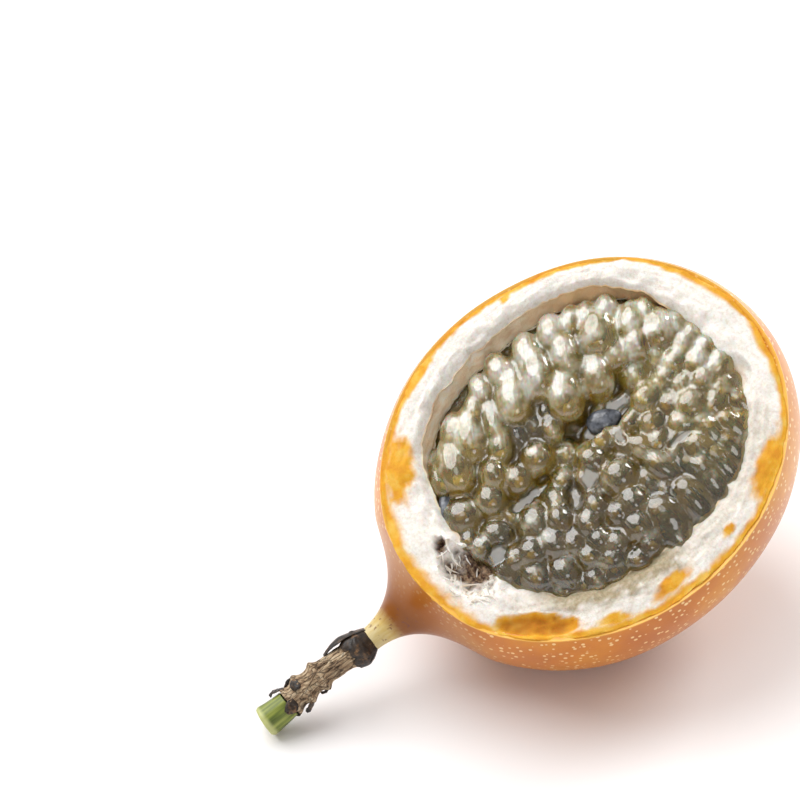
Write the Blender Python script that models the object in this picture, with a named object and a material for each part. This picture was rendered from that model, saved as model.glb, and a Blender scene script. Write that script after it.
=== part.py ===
"""A sweet granadilla, cut open lengthwise a little beside its middle.

The larger piece keeps the whole stalk. The pieces are the hollow shell with its neck,
the pulp of seed sacs that fills it, the dry woody stalk and the stalk's green end.
They are built in the fruit's own frame, with the stalk along -X and the cut face up,
and hang from one empty that lays the fruit down as it rests, on the shell's belly.
"""

import math
import random

import bmesh
import bpy
from mathutils import Matrix, Vector, noise

MM = 0.001
GAP = 0.35 * MM

# The whole fruit, before the cut
FRUIT_HALF_LENGTH = 37.5 * MM
FRUIT_RADIUS = 32.0 * MM
CUT_HEIGHT = 11.5 * MM
UNEVENNESS = 0.45 * MM
FLAT_DEPTH = 1.45 * MM

# How it lies: the stalk end is low, and the cut face leans towards -Y
STALK_DROOP = math.radians(24.6)
FACE_ROLL = math.radians(28.0)

# The neck that the skin draws out into: the curve from the ovoid to the neck's end
NECK_FROM = 33.0 * MM
NECK_END = 47.0 * MM
NECK_RADIUS = 2.1 * MM
NECK_PULL_IN = 3.6 * MM
NECK_PULL_OUT = 10.5 * MM
NECK_STEPS = 10

# The hollow, an ovoid set a little off the fruit's middle
HOLLOW_CENTRE = Vector((1.0, 1.35, 0.0)) * MM
HOLLOW_HALF = Vector((28.3, 25.2, 26.5)) * MM
HOLLOW_SQUARENESS = 2.5
PITH_WAVE = 0.5 * MM
PITS = (
    # torn places in the cut face: middle, half sizes, turn about Z in degrees
    ((-24.2 * MM, -18.0 * MM), (6.9 * MM, 1.9 * MM, 1.7 * MM), -39),
    ((-27.3 * MM, -4.0 * MM), (3.6 * MM, 5.2 * MM, 3.2 * MM), 14),
    ((26.6 * MM, -6.6 * MM), (2.7 * MM, 3.3 * MM, 2.6 * MM), -18),
)

# The pulp, which has drawn back from the hollow's wall on the +Y side
PULP_SHRINK = Vector((0.6, 1.5, 0.6)) * MM
PULP_SHIFT = Vector((0.0, -0.95, 0.0)) * MM
CORE_TOP = CUT_HEIGHT - 3.4 * MM
ROOT_TAPER = 0.3
ROOT_SINK = 0.45
SAC_SWELL = 1.12
SAC_SIDES = 7
SAC_RINGS = 4
TURN_PLAY = 14
LEAN_PLAY = 8
SEED = 7

# The sacs, lobe by lobe: where the free ends point and their lean off upright in degrees,
# and then each sac's middle on the cut face, its radius and its length in millimetres
SAC_LOBES = (
    # along the +Y wall, lying towards the valley
    (-120, 60, (
        (-3.0, 14.0, 3.0, 10.5), (1.8, 14.3, 2.6, 9.0), (7.0, 13.8, 2.5, 7.5),
        (12.6, 13.4, 3.1, 7.8), (17.6, 11.2, 2.3, 6.5), (13.8, 18.0, 1.8, 4.4),
        (16.5, 16.0, 1.8, 4.4), (11.0, 18.2, 1.8, 5.0), (7.6, 18.3, 2.0, 6.0),
        (2.9, 19.4, 2.3, 6.0), (-2.0, 19.4, 2.1, 5.5), (-6.0, 18.6, 1.9, 5.0),
        (-8.8, 17.0, 1.9, 5.0), (-11.8, 13.2, 2.8, 9.0), (-9.2, 9.2, 2.2, 7.0),
        (-16.4, 10.8, 2.7, 9.2), (-19.6, 12.0, 1.9, 8.0), (-14.0, 17.0, 1.9, 5.5),
        (-7.6, 12.6, 1.8, 7.5), (-0.4, 8.6, 1.6, 4.2), (-3.4, 8.4, 1.6, 4.2),
        (-6.0, 8.6, 1.6, 4.5), (-1.7, 6.1, 2.0, 5.0), (3.0, 8.6, 2.6, 8.5),
        (8.4, 8.0, 3.0, 8.0), (13.6, 4.4, 2.8, 7.5), (12.9, 9.0, 2.3, 6.0),
        (16.2, 8.0, 2.4, 6.0), (19.8, 7.0, 2.8, 7.0), (20.6, 11.2, 1.9, 4.6),
        (17.4, 4.6, 1.9, 5.0), (23.4, 6.4, 1.9, 4.6), (24.2, 3.4, 2.0, 4.6),
        (4.6, 17.4, 1.7, 5.0), (-0.6, 17.2, 1.7, 5.0),
    )),
    # in the middle and towards the stalk, blunt ends up
    (-120, 22, (
        (-21.2, 4.9, 3.3, 9.5), (-24.0, 7.6, 1.8, 7.0), (-12.7, 6.1, 2.2, 7.0),
        (-10.4, 2.8, 2.3, 7.0), (-6.2, 3.8, 2.4, 7.0), (-2.1, 1.8, 2.2, 7.0),
        (-15.5, 3.0, 2.4, 7.0), (-18.0, -1.9, 2.6, 7.0), (-12.6, -4.4, 2.8, 8.0),
        (-9.4, -6.4, 2.0, 6.5), (-11.3, -1.0, 1.5, 5.5), (-8.0, -3.4, 1.8, 6.0),
        (-21.1, -2.2, 1.8, 5.0), (-23.3, 0.4, 1.6, 4.6), (-18.6, -6.0, 2.0, 7.0),
        (-15.7, -7.4, 2.3, 7.0), (-17.4, -10.4, 2.6, 7.5), (-21.5, -7.2, 2.3, 7.0),
        (-22.2, -10.4, 1.8, 5.0), (-13.9, -12.6, 2.9, 8.0), (-12.4, -8.6, 2.2, 7.0),
        (-10.2, -10.0, 2.0, 6.5), (-9.7, -13.2, 2.0, 6.5), (-19.4, -13.2, 2.0, 6.0),
        (-16.6, -15.4, 2.0, 6.0), (-13.6, -17.0, 2.1, 6.0), (-11.0, -16.4, 2.0, 6.0),
        (-5.3, -1.6, 2.1, 7.0), (0.0, -2.4, 2.5, 7.5), (3.0, -0.8, 1.9, 6.0),
        (1.5, -6.9, 3.2, 9.0), (-3.8, -7.9, 2.2, 7.0), (-6.6, -9.4, 2.1, 7.0),
        (-7.2, -12.2, 2.3, 7.0), (0.3, -11.3, 2.3, 7.0), (-2.6, -11.0, 1.8, 6.0),
        (-1.4, -14.2, 2.4, 7.0), (-5.2, -14.2, 2.0, 6.5), (-7.2, -15.6, 2.2, 7.0),
        (-8.8, -18.2, 2.3, 6.0), (-4.4, -18.0, 2.1, 6.0), (-1.4, -17.4, 2.2, 7.0),
        (-14.6, -0.8, 1.6, 5.5), (5.9, 3.0, 1.8, 6.0),
    )),
    # along the -Y wall, lying towards the valley
    (95, 52, (
        (2.4, -15.7, 2.8, 8.0), (1.8, -18.8, 2.0, 6.0), (7.6, -16.2, 2.9, 9.0),
        (11.5, -15.0, 2.2, 8.5), (14.2, -14.6, 2.0, 8.0), (17.0, -13.6, 2.0, 7.5),
        (19.2, -11.2, 2.0, 7.0), (21.0, -12.2, 1.7, 6.0), (22.4, -9.4, 1.9, 6.0),
        (13.1, -11.2, 2.1, 6.5), (16.2, -10.2, 2.0, 6.5), (10.4, -12.0, 1.8, 5.5),
        (4.2, -10.6, 2.0, 6.0), (5.4, -13.2, 1.9, 5.5), (7.0, -6.4, 2.2, 7.0),
        (7.2, -9.6, 2.4, 7.0), (9.8, -9.6, 1.8, 6.0), (5.0, -3.8, 1.8, 5.5),
    )),
    # at the far end, turned inwards
    (-170, 38, (
        (21.9, 2.8, 2.0, 6.0), (18.9, 1.6, 2.0, 6.0), (21.8, -0.6, 1.7, 6.0),
        (24.3, 0.4, 1.6, 5.0), (23.8, -3.0, 1.9, 6.0), (16.4, 0.6, 1.8, 5.0),
        (12.1, -0.3, 2.4, 6.5), (14.4, -3.2, 1.9, 5.5), (16.6, -5.3, 2.4, 7.0),
        (17.8, -2.2, 1.9, 5.5), (20.5, -3.4, 1.9, 6.0), (21.9, -6.5, 2.2, 7.0),
        (19.3, -7.4, 2.0, 6.0), (13.8, -6.5, 2.1, 6.0), (16.0, -8.0, 1.8, 6.0),
        (11.8, -8.0, 1.9, 6.0), (10.4, -4.0, 2.2, 6.0), (9.4, -6.6, 1.9, 6.0),
        (8.2, -1.4, 1.7, 5.5),
    )),
)

# The heap's top, measured from the cut face: a crown on each side of a valley along X
CROWN_RISE = 1.9 * MM
VALLEY_DEPTH = 3.7 * MM
VALLEY_AT = 1.6 * MM
VALLEY_WIDTH = 3.6 * MM
EDGE_FALL = 3.1 * MM

# The stalk beyond the neck: distances from the fruit's middle, and how far its end droops
STALK_START = NECK_END + GAP
WOOD_END = 63.6 * MM
STALK_END = 68.6 * MM
STALK_RADIUS = 2.15 * MM
GREEN_RADIUS = 2.35 * MM
GREEN_FLARE = 0.35 * MM
TIP_DROP = 0.7 * MM
TIP_SWING = 0.5 * MM
SWAY = 0.3 * MM
STALK_SIDES = 18
JOINT_RINGS = (
    # distance along the stalk, extra radius, width
    (49.4 * MM, 0.75 * MM, 1.3 * MM),
    (56.9 * MM, 0.75 * MM, 0.7 * MM),
    (60.1 * MM, 0.85 * MM, 0.8 * MM),
    (63.0 * MM, 0.65 * MM, 0.7 * MM),
)
DRY_SCALES = (
    # distance of the root, angle round the stalk, length, width, lift off the stalk, lean
    (48.6 * MM, 75, 7.2 * MM, 3.1 * MM, 1.0 * MM, -14),
    (48.4 * MM, 190, 4.6 * MM, 2.6 * MM, 0.7 * MM, -20),
    (48.5 * MM, 300, 3.8 * MM, 2.4 * MM, 0.9 * MM, -24),
    (60.3 * MM, 95, 2.8 * MM, 1.3 * MM, 0.5 * MM, -48),
    (63.2 * MM, 70, 3.4 * MM, 1.2 * MM, 0.4 * MM, 58),
    (60.4 * MM, 275, 2.6 * MM, 1.4 * MM, 0.5 * MM, 32),
)
SCALE_THICKNESS = 0.9 * MM

RING_COUNT = 21
RING_SIDES = 42

COLOURS = {
    # name: base colour, roughness
    "skin": ((0.80, 0.33, 0.045), 0.32),
    "pith": ((0.86, 0.82, 0.74), 0.75),
    "pulp": ((0.20, 0.19, 0.10), 0.12),
    "wood": ((0.33, 0.25, 0.16), 0.80),
    "green": ((0.30, 0.48, 0.09), 0.40),
}


def clear_scene():
    """Empties the scene, whatever file it is run in."""
    for obj in list(bpy.data.objects):
        bpy.data.objects.remove(obj)


def material(name):
    """The finish of that name, made once."""
    made = bpy.data.materials.get(name)
    if made:
        return made
    colour, roughness = COLOURS[name]
    made = bpy.data.materials.new(name)
    made.use_nodes = True
    shader = made.node_tree.nodes["Principled BSDF"]
    shader.inputs["Base Color"].default_value = (*colour, 1.0)
    shader.inputs["Roughness"].default_value = roughness
    return made


def add_object(name, mesh, finish, frame):
    """Links a mesh as an object of that name, under the fruit's frame."""
    obj = bpy.data.objects.new(name, mesh)
    bpy.context.scene.collection.objects.link(obj)
    obj.parent = frame
    mesh.materials.append(material(finish))
    return obj


def shade(mesh):
    """Smooth shading with sharp edges kept."""
    mesh.shade_smooth()
    mesh.set_sharp_from_angle(angle=math.radians(40))


def mesh_from(builder, *facts):
    """A mesh that one of the fill functions makes."""
    bm = bmesh.new()
    builder(bm, *facts)
    mesh = bpy.data.meshes.new(builder.__name__)
    bm.to_mesh(mesh)
    bm.free()
    return mesh


def combine(obj, parts, operation, solver):
    """Joins the parts to the object, or takes them out of it, for good, and removes them."""
    group = bpy.data.collections.new("parts")
    bpy.context.scene.collection.children.link(group)
    for part in parts:
        bpy.context.scene.collection.objects.unlink(part)
        group.objects.link(part)
    joining = obj.modifiers.new("combine", "BOOLEAN")
    joining.operation = operation
    joining.operand_type = "COLLECTION"
    joining.solver = solver
    joining.collection = group
    bpy.context.view_layer.update()
    graph = bpy.context.evaluated_depsgraph_get()
    joined = bpy.data.meshes.new_from_object(obj.evaluated_get(graph))
    obj.modifiers.clear()
    obj.data = joined
    for part in parts:
        bpy.data.objects.remove(part)
    bpy.data.collections.remove(group)


def grid_of_rings(bm, rings):
    """Faces between rings of points, with a fan at each end."""
    made = [[bm.verts.new(point) for point in ring] for ring in rings]
    for near, far in zip(made, made[1:]):
        count = len(near)
        for i in range(count):
            j = (i + 1) % count
            bm.faces.new((near[i], near[j], far[j], far[i]))
    for ring, facing in ((made[0], -1), (made[-1], 1)):
        centre = sum((vert.co for vert in ring), Vector()) / len(ring)
        middle = bm.verts.new(centre)
        for i, vert in enumerate(ring):
            other = ring[(i + 1) % len(ring)]
            face = (middle, vert, other) if facing > 0 else (middle, other, vert)
            bm.faces.new(face)
    bmesh.ops.recalc_face_normals(bm, faces=bm.faces)


def ball_rings(centre, half, sides, rings, shaper=None):
    """Rings of points on an ovoid about the Z axis, from below its middle to above it."""
    made = []
    for i in range(rings):
        lean = math.pi * (i + 0.5) / rings
        ring = []
        for k in range(sides):
            turn = 2 * math.pi * k / sides
            way = Vector(
                (
                    math.sin(lean) * math.cos(turn),
                    math.sin(lean) * math.sin(turn),
                    -math.cos(lean),
                )
            )
            reach = 1.0 + (shaper(way) if shaper else 0.0)
            ring.append(centre + Vector(w * h * reach for w, h in zip(way, half)))
        made.append(ring)
    return made


def ovoid_radius(x):
    """The fruit's radius at that place along its axis, without the neck."""
    share = min(1.0, abs(x) / FRUIT_HALF_LENGTH)
    return FRUIT_RADIUS * math.sqrt(max(0.0, 1.0 - share * share))


def neck_curve():
    """Places and radii from the ovoid's side to the neck's end, along one smooth curve."""
    radius = ovoid_radius(NECK_FROM)
    slope = -(FRUIT_RADIUS**2) * NECK_FROM / (FRUIT_HALF_LENGTH**2 * radius)
    leave = Vector((1.0, slope)).normalized() * NECK_PULL_IN
    start = Vector((NECK_FROM, radius))
    stop = Vector((NECK_END, NECK_RADIUS))
    made = []
    for i in range(NECK_STEPS + 1):
        t = i / NECK_STEPS
        u = 1 - t
        pull_in = 3 * u * u * t * (start + leave)
        pull_out = 3 * u * t * t * (stop - Vector((NECK_PULL_OUT, 0.0)))
        point = u**3 * start + pull_in + pull_out + t**3 * stop
        made.append((-point.x, point.y))
    return made


def outline():
    """Places along the axis with the radius there, from the far end to the neck's end."""
    turn_at_neck = math.acos(-NECK_FROM / FRUIT_HALF_LENGTH)
    made = []
    for i in range(RING_COUNT):
        x = FRUIT_HALF_LENGTH * math.cos(turn_at_neck * (i + 0.45) / RING_COUNT)
        made.append((x, ovoid_radius(x)))
    return made + neck_curve()


def bumpy(point):
    """Low unevenness of a real fruit's side."""
    return UNEVENNESS * noise.noise(point * (1 / (19 * MM)) + Vector((3.1, 0.4, 7.7)))


def shell_rings():
    rings = []
    for x, radius in outline():
        on_body = min(1.0, radius / (12 * MM))
        ring = []
        for k in range(RING_SIDES):
            turn = 2 * math.pi * k / RING_SIDES
            way = Vector((0.0, math.cos(turn), math.sin(turn)))
            point = Vector((x, 0, 0)) + way * radius
            ring.append(point + way * bumpy(point) * on_body)
        rings.append(ring)
    return rings


def cut_flat(bm, place, facing):
    """Takes off what lies past a plane, and closes the cut."""
    everything = bm.verts[:] + bm.edges[:] + bm.faces[:]
    made = bmesh.ops.bisect_plane(
        bm, geom=everything, plane_co=place, plane_no=facing, clear_outer=True
    )
    rim = [e for e in made["geom_cut"] if isinstance(e, bmesh.types.BMEdge)]
    bmesh.ops.holes_fill(bm, edges=rim, sides=0)
    bmesh.ops.recalc_face_normals(bm, faces=bm.faces)


def squared(way):
    """How far the hollow's side lies outside a true ovoid: it is fuller between its axes."""
    level = math.hypot(way.x, way.y)
    if level < 1e-6:
        return 0.0
    power = HOLLOW_SQUARENESS
    sides = (abs(way.x) / level) ** power + (abs(way.y) / level) ** power
    return (sides ** (-1 / power) - 1) * level**2


def hollow_wave(way):
    """The hollow's wall is fuller between its axes, and wanders a little as torn pith does."""
    wave = noise.noise(way * 1.9 + Vector((5.0, 1.0, 2.0)))
    return squared(way) + PITH_WAVE / HOLLOW_HALF.y * wave


def fill_hollow(bm):
    """The ovoid that is taken out of the shell."""
    grid_of_rings(bm, ball_rings(HOLLOW_CENTRE, HOLLOW_HALF, 36, 18, hollow_wave))


def fill_pit(bm, middle, half, turn):
    """One shallow torn place, as a flattened ball on the cut face."""
    grid_of_rings(bm, ball_rings(Vector((0, 0, 0)), half, 12, 8))
    turned = Matrix.Rotation(math.radians(turn), 4, "Z")
    place = Matrix.Translation((*middle, CUT_HEIGHT))
    bmesh.ops.transform(bm, matrix=place @ turned, verts=bm.verts)


def fill_shell(bm, floor_place, floor_facing):
    """The whole fruit with its neck, cut across its top and flattened where it rests."""
    grid_of_rings(bm, shell_rings())
    cut_flat(bm, Vector((0, 0, CUT_HEIGHT)), Vector((0, 0, 1)))
    cut_flat(bm, floor_place, floor_facing)


def make_shell(frame, floor_place, floor_facing):
    """Skin and pith as one solid, with the neck, the cut face, the hollow and the flat spot."""
    outside = mesh_from(fill_shell, floor_place, floor_facing)
    shell = add_object("shell", outside, "skin", frame)
    outside.materials.append(material("pith"))
    for face in outside.polygons:
        if face.normal.z > 0.999 and face.center.z > CUT_HEIGHT - GAP:
            face.material_index = 1
    cutters = [add_object("hollow", mesh_from(fill_hollow), "pith", frame)]
    for facts in PITS:
        cutters.append(add_object("pit", mesh_from(fill_pit, *facts), "pith", frame))
    combine(shell, cutters, "DIFFERENCE", "EXACT")
    shade(shell.data)
    return shell


def pulp_space():
    """Middle and half sizes of the room that the pulp has inside the hollow."""
    return HOLLOW_CENTRE + PULP_SHIFT, HOLLOW_HALF - PULP_SHRINK - Vector((PITH_WAVE,) * 3)


def heap_top(x, y):
    """Height of the heap of sacs above the fruit's axis."""
    centre, half = pulp_space()
    across = math.hypot((x - centre.x) / half.x, (y - centre.y) / half.y)
    wander = 2.2 * MM * math.sin(x / (9 * MM))
    valley = math.exp(-(((y - VALLEY_AT - wander) / VALLEY_WIDTH) ** 2))
    fade = max(0.0, 1.0 - (x / (24 * MM)) ** 2)
    edge = max(0.0, across - 0.55) / 0.45
    return CUT_HEIGHT + CROWN_RISE - VALLEY_DEPTH * valley * fade - EDGE_FALL * edge**2


def inside(point, margin):
    """Whether a point is at least that far inside the pulp's room."""
    centre, half = pulp_space()
    way = Vector((p - c) / (h - margin) for p, c, h in zip(point, centre, half))
    return way.length < 1.0 + squared(way.normalized())


def sac_places():
    """Where each seed sac's blunt end is, the way it points, its length and its radius."""
    draw = random.Random(SEED)
    sacs = []
    for turn, lean, members in SAC_LOBES:
        for x, y, radius, length in members:
            swing = math.radians(turn + draw.uniform(-TURN_PLAY, TURN_PLAY))
            tip = math.radians(lean + draw.uniform(-LEAN_PLAY, LEAN_PLAY))
            level = Vector((math.cos(swing), math.sin(swing), 0)) * math.sin(tip)
            way = level + Vector((0, 0, math.cos(tip)))
            sacs.append(placed_sac(x * MM, y * MM, way, length * MM, radius * SAC_SWELL * MM))
    return sacs


def placed_sac(x, y, way, length, radius):
    """One sac moved inwards until it is inside the pulp's room, with its root in the core."""
    centre, _ = pulp_space()
    past = length / 2 - radius
    end = Vector((x, y, heap_top(x, y) - radius - past * way.z)) + way * past
    for _ in range(14):
        root = end - way * (length - 2 * radius)
        if inside(end, radius) and inside(root, radius * 0.6):
            break
        end -= Vector((end.x - centre.x, end.y - centre.y, 0)) * 0.03
        way = (way + Vector((0, 0, 0.1))).normalized()
    root = end - way * (length - 2 * radius)
    end.z -= max(0.0, root.z - radius * ROOT_SINK - CORE_TOP)
    return end, way, length, radius


def add_sac(bm, end, way, length, radius):
    """One drop-shaped sac with few sides: blunt at its free end, drawn in at its root."""
    side = way.orthogonal().normalized()
    other = way.cross(side)
    rings = []
    for i in range(SAC_RINGS):
        lean = math.pi * (i + 0.5) / SAC_RINGS
        along = 0.5 - 0.5 * math.cos(lean)
        wide = radius * math.sin(lean) ** 0.75 * (1.0 - ROOT_TAPER * along)
        place = end + way * (radius - length * along)
        ring = []
        for k in range(SAC_SIDES):
            turn = 2 * math.pi * k / SAC_SIDES
            ring.append(place + (side * math.cos(turn) + other * math.sin(turn)) * wide)
        rings.append(ring)
    grid_of_rings(bm, rings)


def fill_core(bm):
    """The pulp below the sacs: an ovoid cut off level, under the heap's valley."""
    centre, half = pulp_space()
    grid_of_rings(bm, ball_rings(centre, half, 32, 14, squared))
    cut_flat(bm, Vector((0, 0, CORE_TOP)), Vector((0, 0, 1)))


def fill_sealed(mesh):
    """Closes the hollows that the sacs leave sealed between them: only the outer skin stays."""
    bm = bmesh.new()
    bm.from_mesh(mesh)
    left = set(bm.verts)
    islands = []
    while left:
        island = set()
        reached = [left.pop()]
        while reached:
            vert = reached.pop()
            island.add(vert)
            for edge in vert.link_edges:
                other = edge.other_vert(vert)
                if other in left:
                    left.remove(other)
                    reached.append(other)
        islands.append(island)
    outer = max(islands, key=len)
    sealed = [vert for island in islands if island is not outer for vert in island]
    bmesh.ops.delete(bm, geom=sealed, context="VERTS")
    bm.to_mesh(mesh)
    bm.free()


def make_pulp(frame):
    """The heap of seed sacs on its core, as one solid."""
    pulp = add_object("pulp", mesh_from(fill_core), "pulp", frame)
    parts = []
    for facts in sac_places():
        parts.append(add_object("sac", mesh_from(add_sac, *facts), "pulp", frame))
    combine(pulp, parts, "UNION", "MANIFOLD")
    fill_sealed(pulp.data)
    shade(pulp.data)
    return pulp


def stalk_line(distance):
    """A point on the stalk's middle line, at that distance from the fruit's middle."""
    past = max(0.0, distance - NECK_END) / (STALK_END - NECK_END)
    drop = TIP_DROP * past**1.7
    swing = TIP_SWING * past**2 + SWAY * (1 - math.cos(past * 7.0))
    return Vector((-distance, swing, -drop))


def stalk_frame(distance):
    """Middle, way outward and two directions across the stalk there."""
    step = 0.2 * MM
    middle = stalk_line(distance)
    way = (stalk_line(distance + step) - stalk_line(distance - step)).normalized()
    up = (Vector((0, 0, 1)) - way * way.z).normalized()
    return middle, way, up, way.cross(up)


def wood_radius(distance):
    """The woody stalk's radius, with a swollen ring at each joint."""
    radius = STALK_RADIUS
    for place, extra, width in JOINT_RINGS:
        radius += extra * math.exp(-(((distance - place) / width) ** 2))
    return radius


def green_radius(distance):
    """The green end widens to its cut."""
    past = (distance - WOOD_END) / (STALK_END - WOOD_END)
    return GREEN_RADIUS + GREEN_FLARE * past


def fill_rod(bm, start, stop, steps, radius_at):
    """Rings along the stalk's line."""
    rings = []
    for i in range(steps + 1):
        distance = start + (stop - start) * i / steps
        middle, _, up, across = stalk_frame(distance)
        radius = radius_at(distance)
        ring = []
        for k in range(STALK_SIDES):
            turn = 2 * math.pi * k / STALK_SIDES
            ring.append(middle + (up * math.cos(turn) + across * math.sin(turn)) * radius)
        rings.append(ring)
    grid_of_rings(bm, rings)


def fill_scale(bm, root, turn, length, width, lift, lean):
    """One dry scale: a thin curved leaf whose root is sunk in the stalk."""
    middle, way, up, across = stalk_frame(root)
    turn = math.radians(turn)
    out = up * math.cos(turn) + across * math.sin(turn)
    beside = way.cross(out)
    along = Matrix.Rotation(math.radians(lean), 3, beside) @ way
    start = middle + out * (wood_radius(root) - 0.45 * MM)
    steps = 4
    rings = []
    for i in range(steps + 1):
        past = i / steps
        bulge = math.sin(math.pi * (0.22 + 0.7 * past))
        place = start + along * (length * (past - 0.12)) + out * lift * math.sin(2.2 * past)
        wide = width / 2 * bulge
        thick = SCALE_THICKNESS / 2 * (1 - 0.35 * past)
        ring = []
        for k in range(6):
            angle = 2 * math.pi * k / 6
            ring.append(place + beside * wide * math.cos(angle) + out * thick * math.sin(angle))
        rings.append(ring)
    grid_of_rings(bm, rings)


def make_stalk(frame):
    """The woody stalk with its dry scales, as one solid, and the green end."""
    wood = mesh_from(fill_rod, STALK_START, WOOD_END - GAP, 26, wood_radius)
    stalk = add_object("stalk", wood, "wood", frame)
    scales = []
    for facts in DRY_SCALES:
        scales.append(add_object("scale", mesh_from(fill_scale, *facts), "wood", frame))
    combine(stalk, scales, "UNION", "MANIFOLD")
    shade(stalk.data)
    green = mesh_from(fill_rod, WOOD_END, STALK_END, 5, green_radius)
    end = add_object("stalk_end", green, "green", frame)
    shade(green)
    return stalk, end


def lay_down(frame):
    """Turns the fruit to how it rests. Gives the table's plane in the fruit's own frame."""
    droop = Matrix.Rotation(-STALK_DROOP, 3, "Y")
    roll = Matrix.Rotation(FACE_ROLL, 3, "X")
    turn = droop @ roll
    frame.rotation_euler = turn.to_euler()
    down = turn.inverted() @ Vector((0, 0, -1))
    axis_share = down.x
    reach = math.sqrt(
        (FRUIT_HALF_LENGTH * axis_share) ** 2 + FRUIT_RADIUS**2 * (1 - axis_share**2)
    )
    place = down * (reach - FLAT_DEPTH)
    frame.location = (0, 0, reach - FLAT_DEPTH)
    return place, down


def centre_on_origin(frame, pieces):
    """Slides the fruit until the middle of its box is over the origin."""
    bpy.context.view_layer.update()
    corners = []
    for piece in pieces:
        corners += [piece.matrix_world @ vert.co for vert in piece.data.vertices]
    for axis in (0, 1):
        low = min(corner[axis] for corner in corners)
        high = max(corner[axis] for corner in corners)
        frame.location[axis] -= (low + high) / 2


def main():
    clear_scene()
    frame = bpy.data.objects.new("fruit_frame", None)
    bpy.context.scene.collection.objects.link(frame)
    table_place, table_facing = lay_down(frame)
    shell = make_shell(frame, table_place, table_facing)
    pulp = make_pulp(frame)
    stalk, end = make_stalk(frame)
    centre_on_origin(frame, [shell, pulp, stalk, end])


main()
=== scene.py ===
"""The look of a sweet granadilla cut open lengthwise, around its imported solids.

Every piece is modelled in the fruit's own frame, in metres: the stalk points along -X and
the cut face is level. settle then turns it to how the fruit rests on the table.
"""

import math
import random

import bpy
from mathutils import Euler, Matrix, Vector, noise


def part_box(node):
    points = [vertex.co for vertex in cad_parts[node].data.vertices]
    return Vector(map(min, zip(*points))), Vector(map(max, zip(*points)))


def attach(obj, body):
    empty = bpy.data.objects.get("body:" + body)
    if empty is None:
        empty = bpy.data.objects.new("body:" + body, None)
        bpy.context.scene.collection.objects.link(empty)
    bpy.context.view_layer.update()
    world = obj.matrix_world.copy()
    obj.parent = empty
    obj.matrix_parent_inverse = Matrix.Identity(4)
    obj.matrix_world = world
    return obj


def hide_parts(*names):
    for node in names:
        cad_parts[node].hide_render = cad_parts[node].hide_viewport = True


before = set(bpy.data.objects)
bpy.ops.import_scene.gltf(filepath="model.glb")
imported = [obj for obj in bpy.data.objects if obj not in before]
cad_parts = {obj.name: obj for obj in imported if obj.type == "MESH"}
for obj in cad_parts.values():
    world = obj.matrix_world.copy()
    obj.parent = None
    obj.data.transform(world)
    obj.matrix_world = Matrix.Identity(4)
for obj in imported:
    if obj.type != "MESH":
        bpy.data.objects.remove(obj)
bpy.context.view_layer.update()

MM = 0.001

# The whole fruit before the cut, as its solids have it
FRUIT_HALF_LENGTH = 37.5 * MM
FRUIT_RADIUS = 32.0 * MM
CUT_HEIGHT = 11.5 * MM
UNEVENNESS = 0.45 * MM
BODY_FROM = 12 * MM
FLAT_DEPTH = 1.45 * MM
STALK_DROOP = math.radians(24.6)
FACE_ROLL = math.radians(28.0)
NECK_FROM = 33.0 * MM
NECK_END = 47.0 * MM
NECK_RADIUS = 2.1 * MM
NECK_PULL_IN = 3.6 * MM
NECK_PULL_OUT = 10.5 * MM
HOLLOW_CENTRE = Vector((1.0, 1.35, 0.0)) * MM
HOLLOW_HALF = Vector((28.3, 25.2, 26.5)) * MM
HOLLOW_SQUARENESS = 2.5
PITH_WAVE = 0.5 * MM

# The pulp, as its solid has it
PULP_SHRINK = Vector((0.6, 1.5, 0.6)) * MM
PULP_SHIFT = Vector((0.0, -0.95, 0.0)) * MM
CORE_TOP = CUT_HEIGHT - 3.4 * MM
ROOT_SINK = 0.45
SAC_SWELL = 1.12
TURN_PLAY = 14
LEAN_PLAY = 8
SEED = 7

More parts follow.
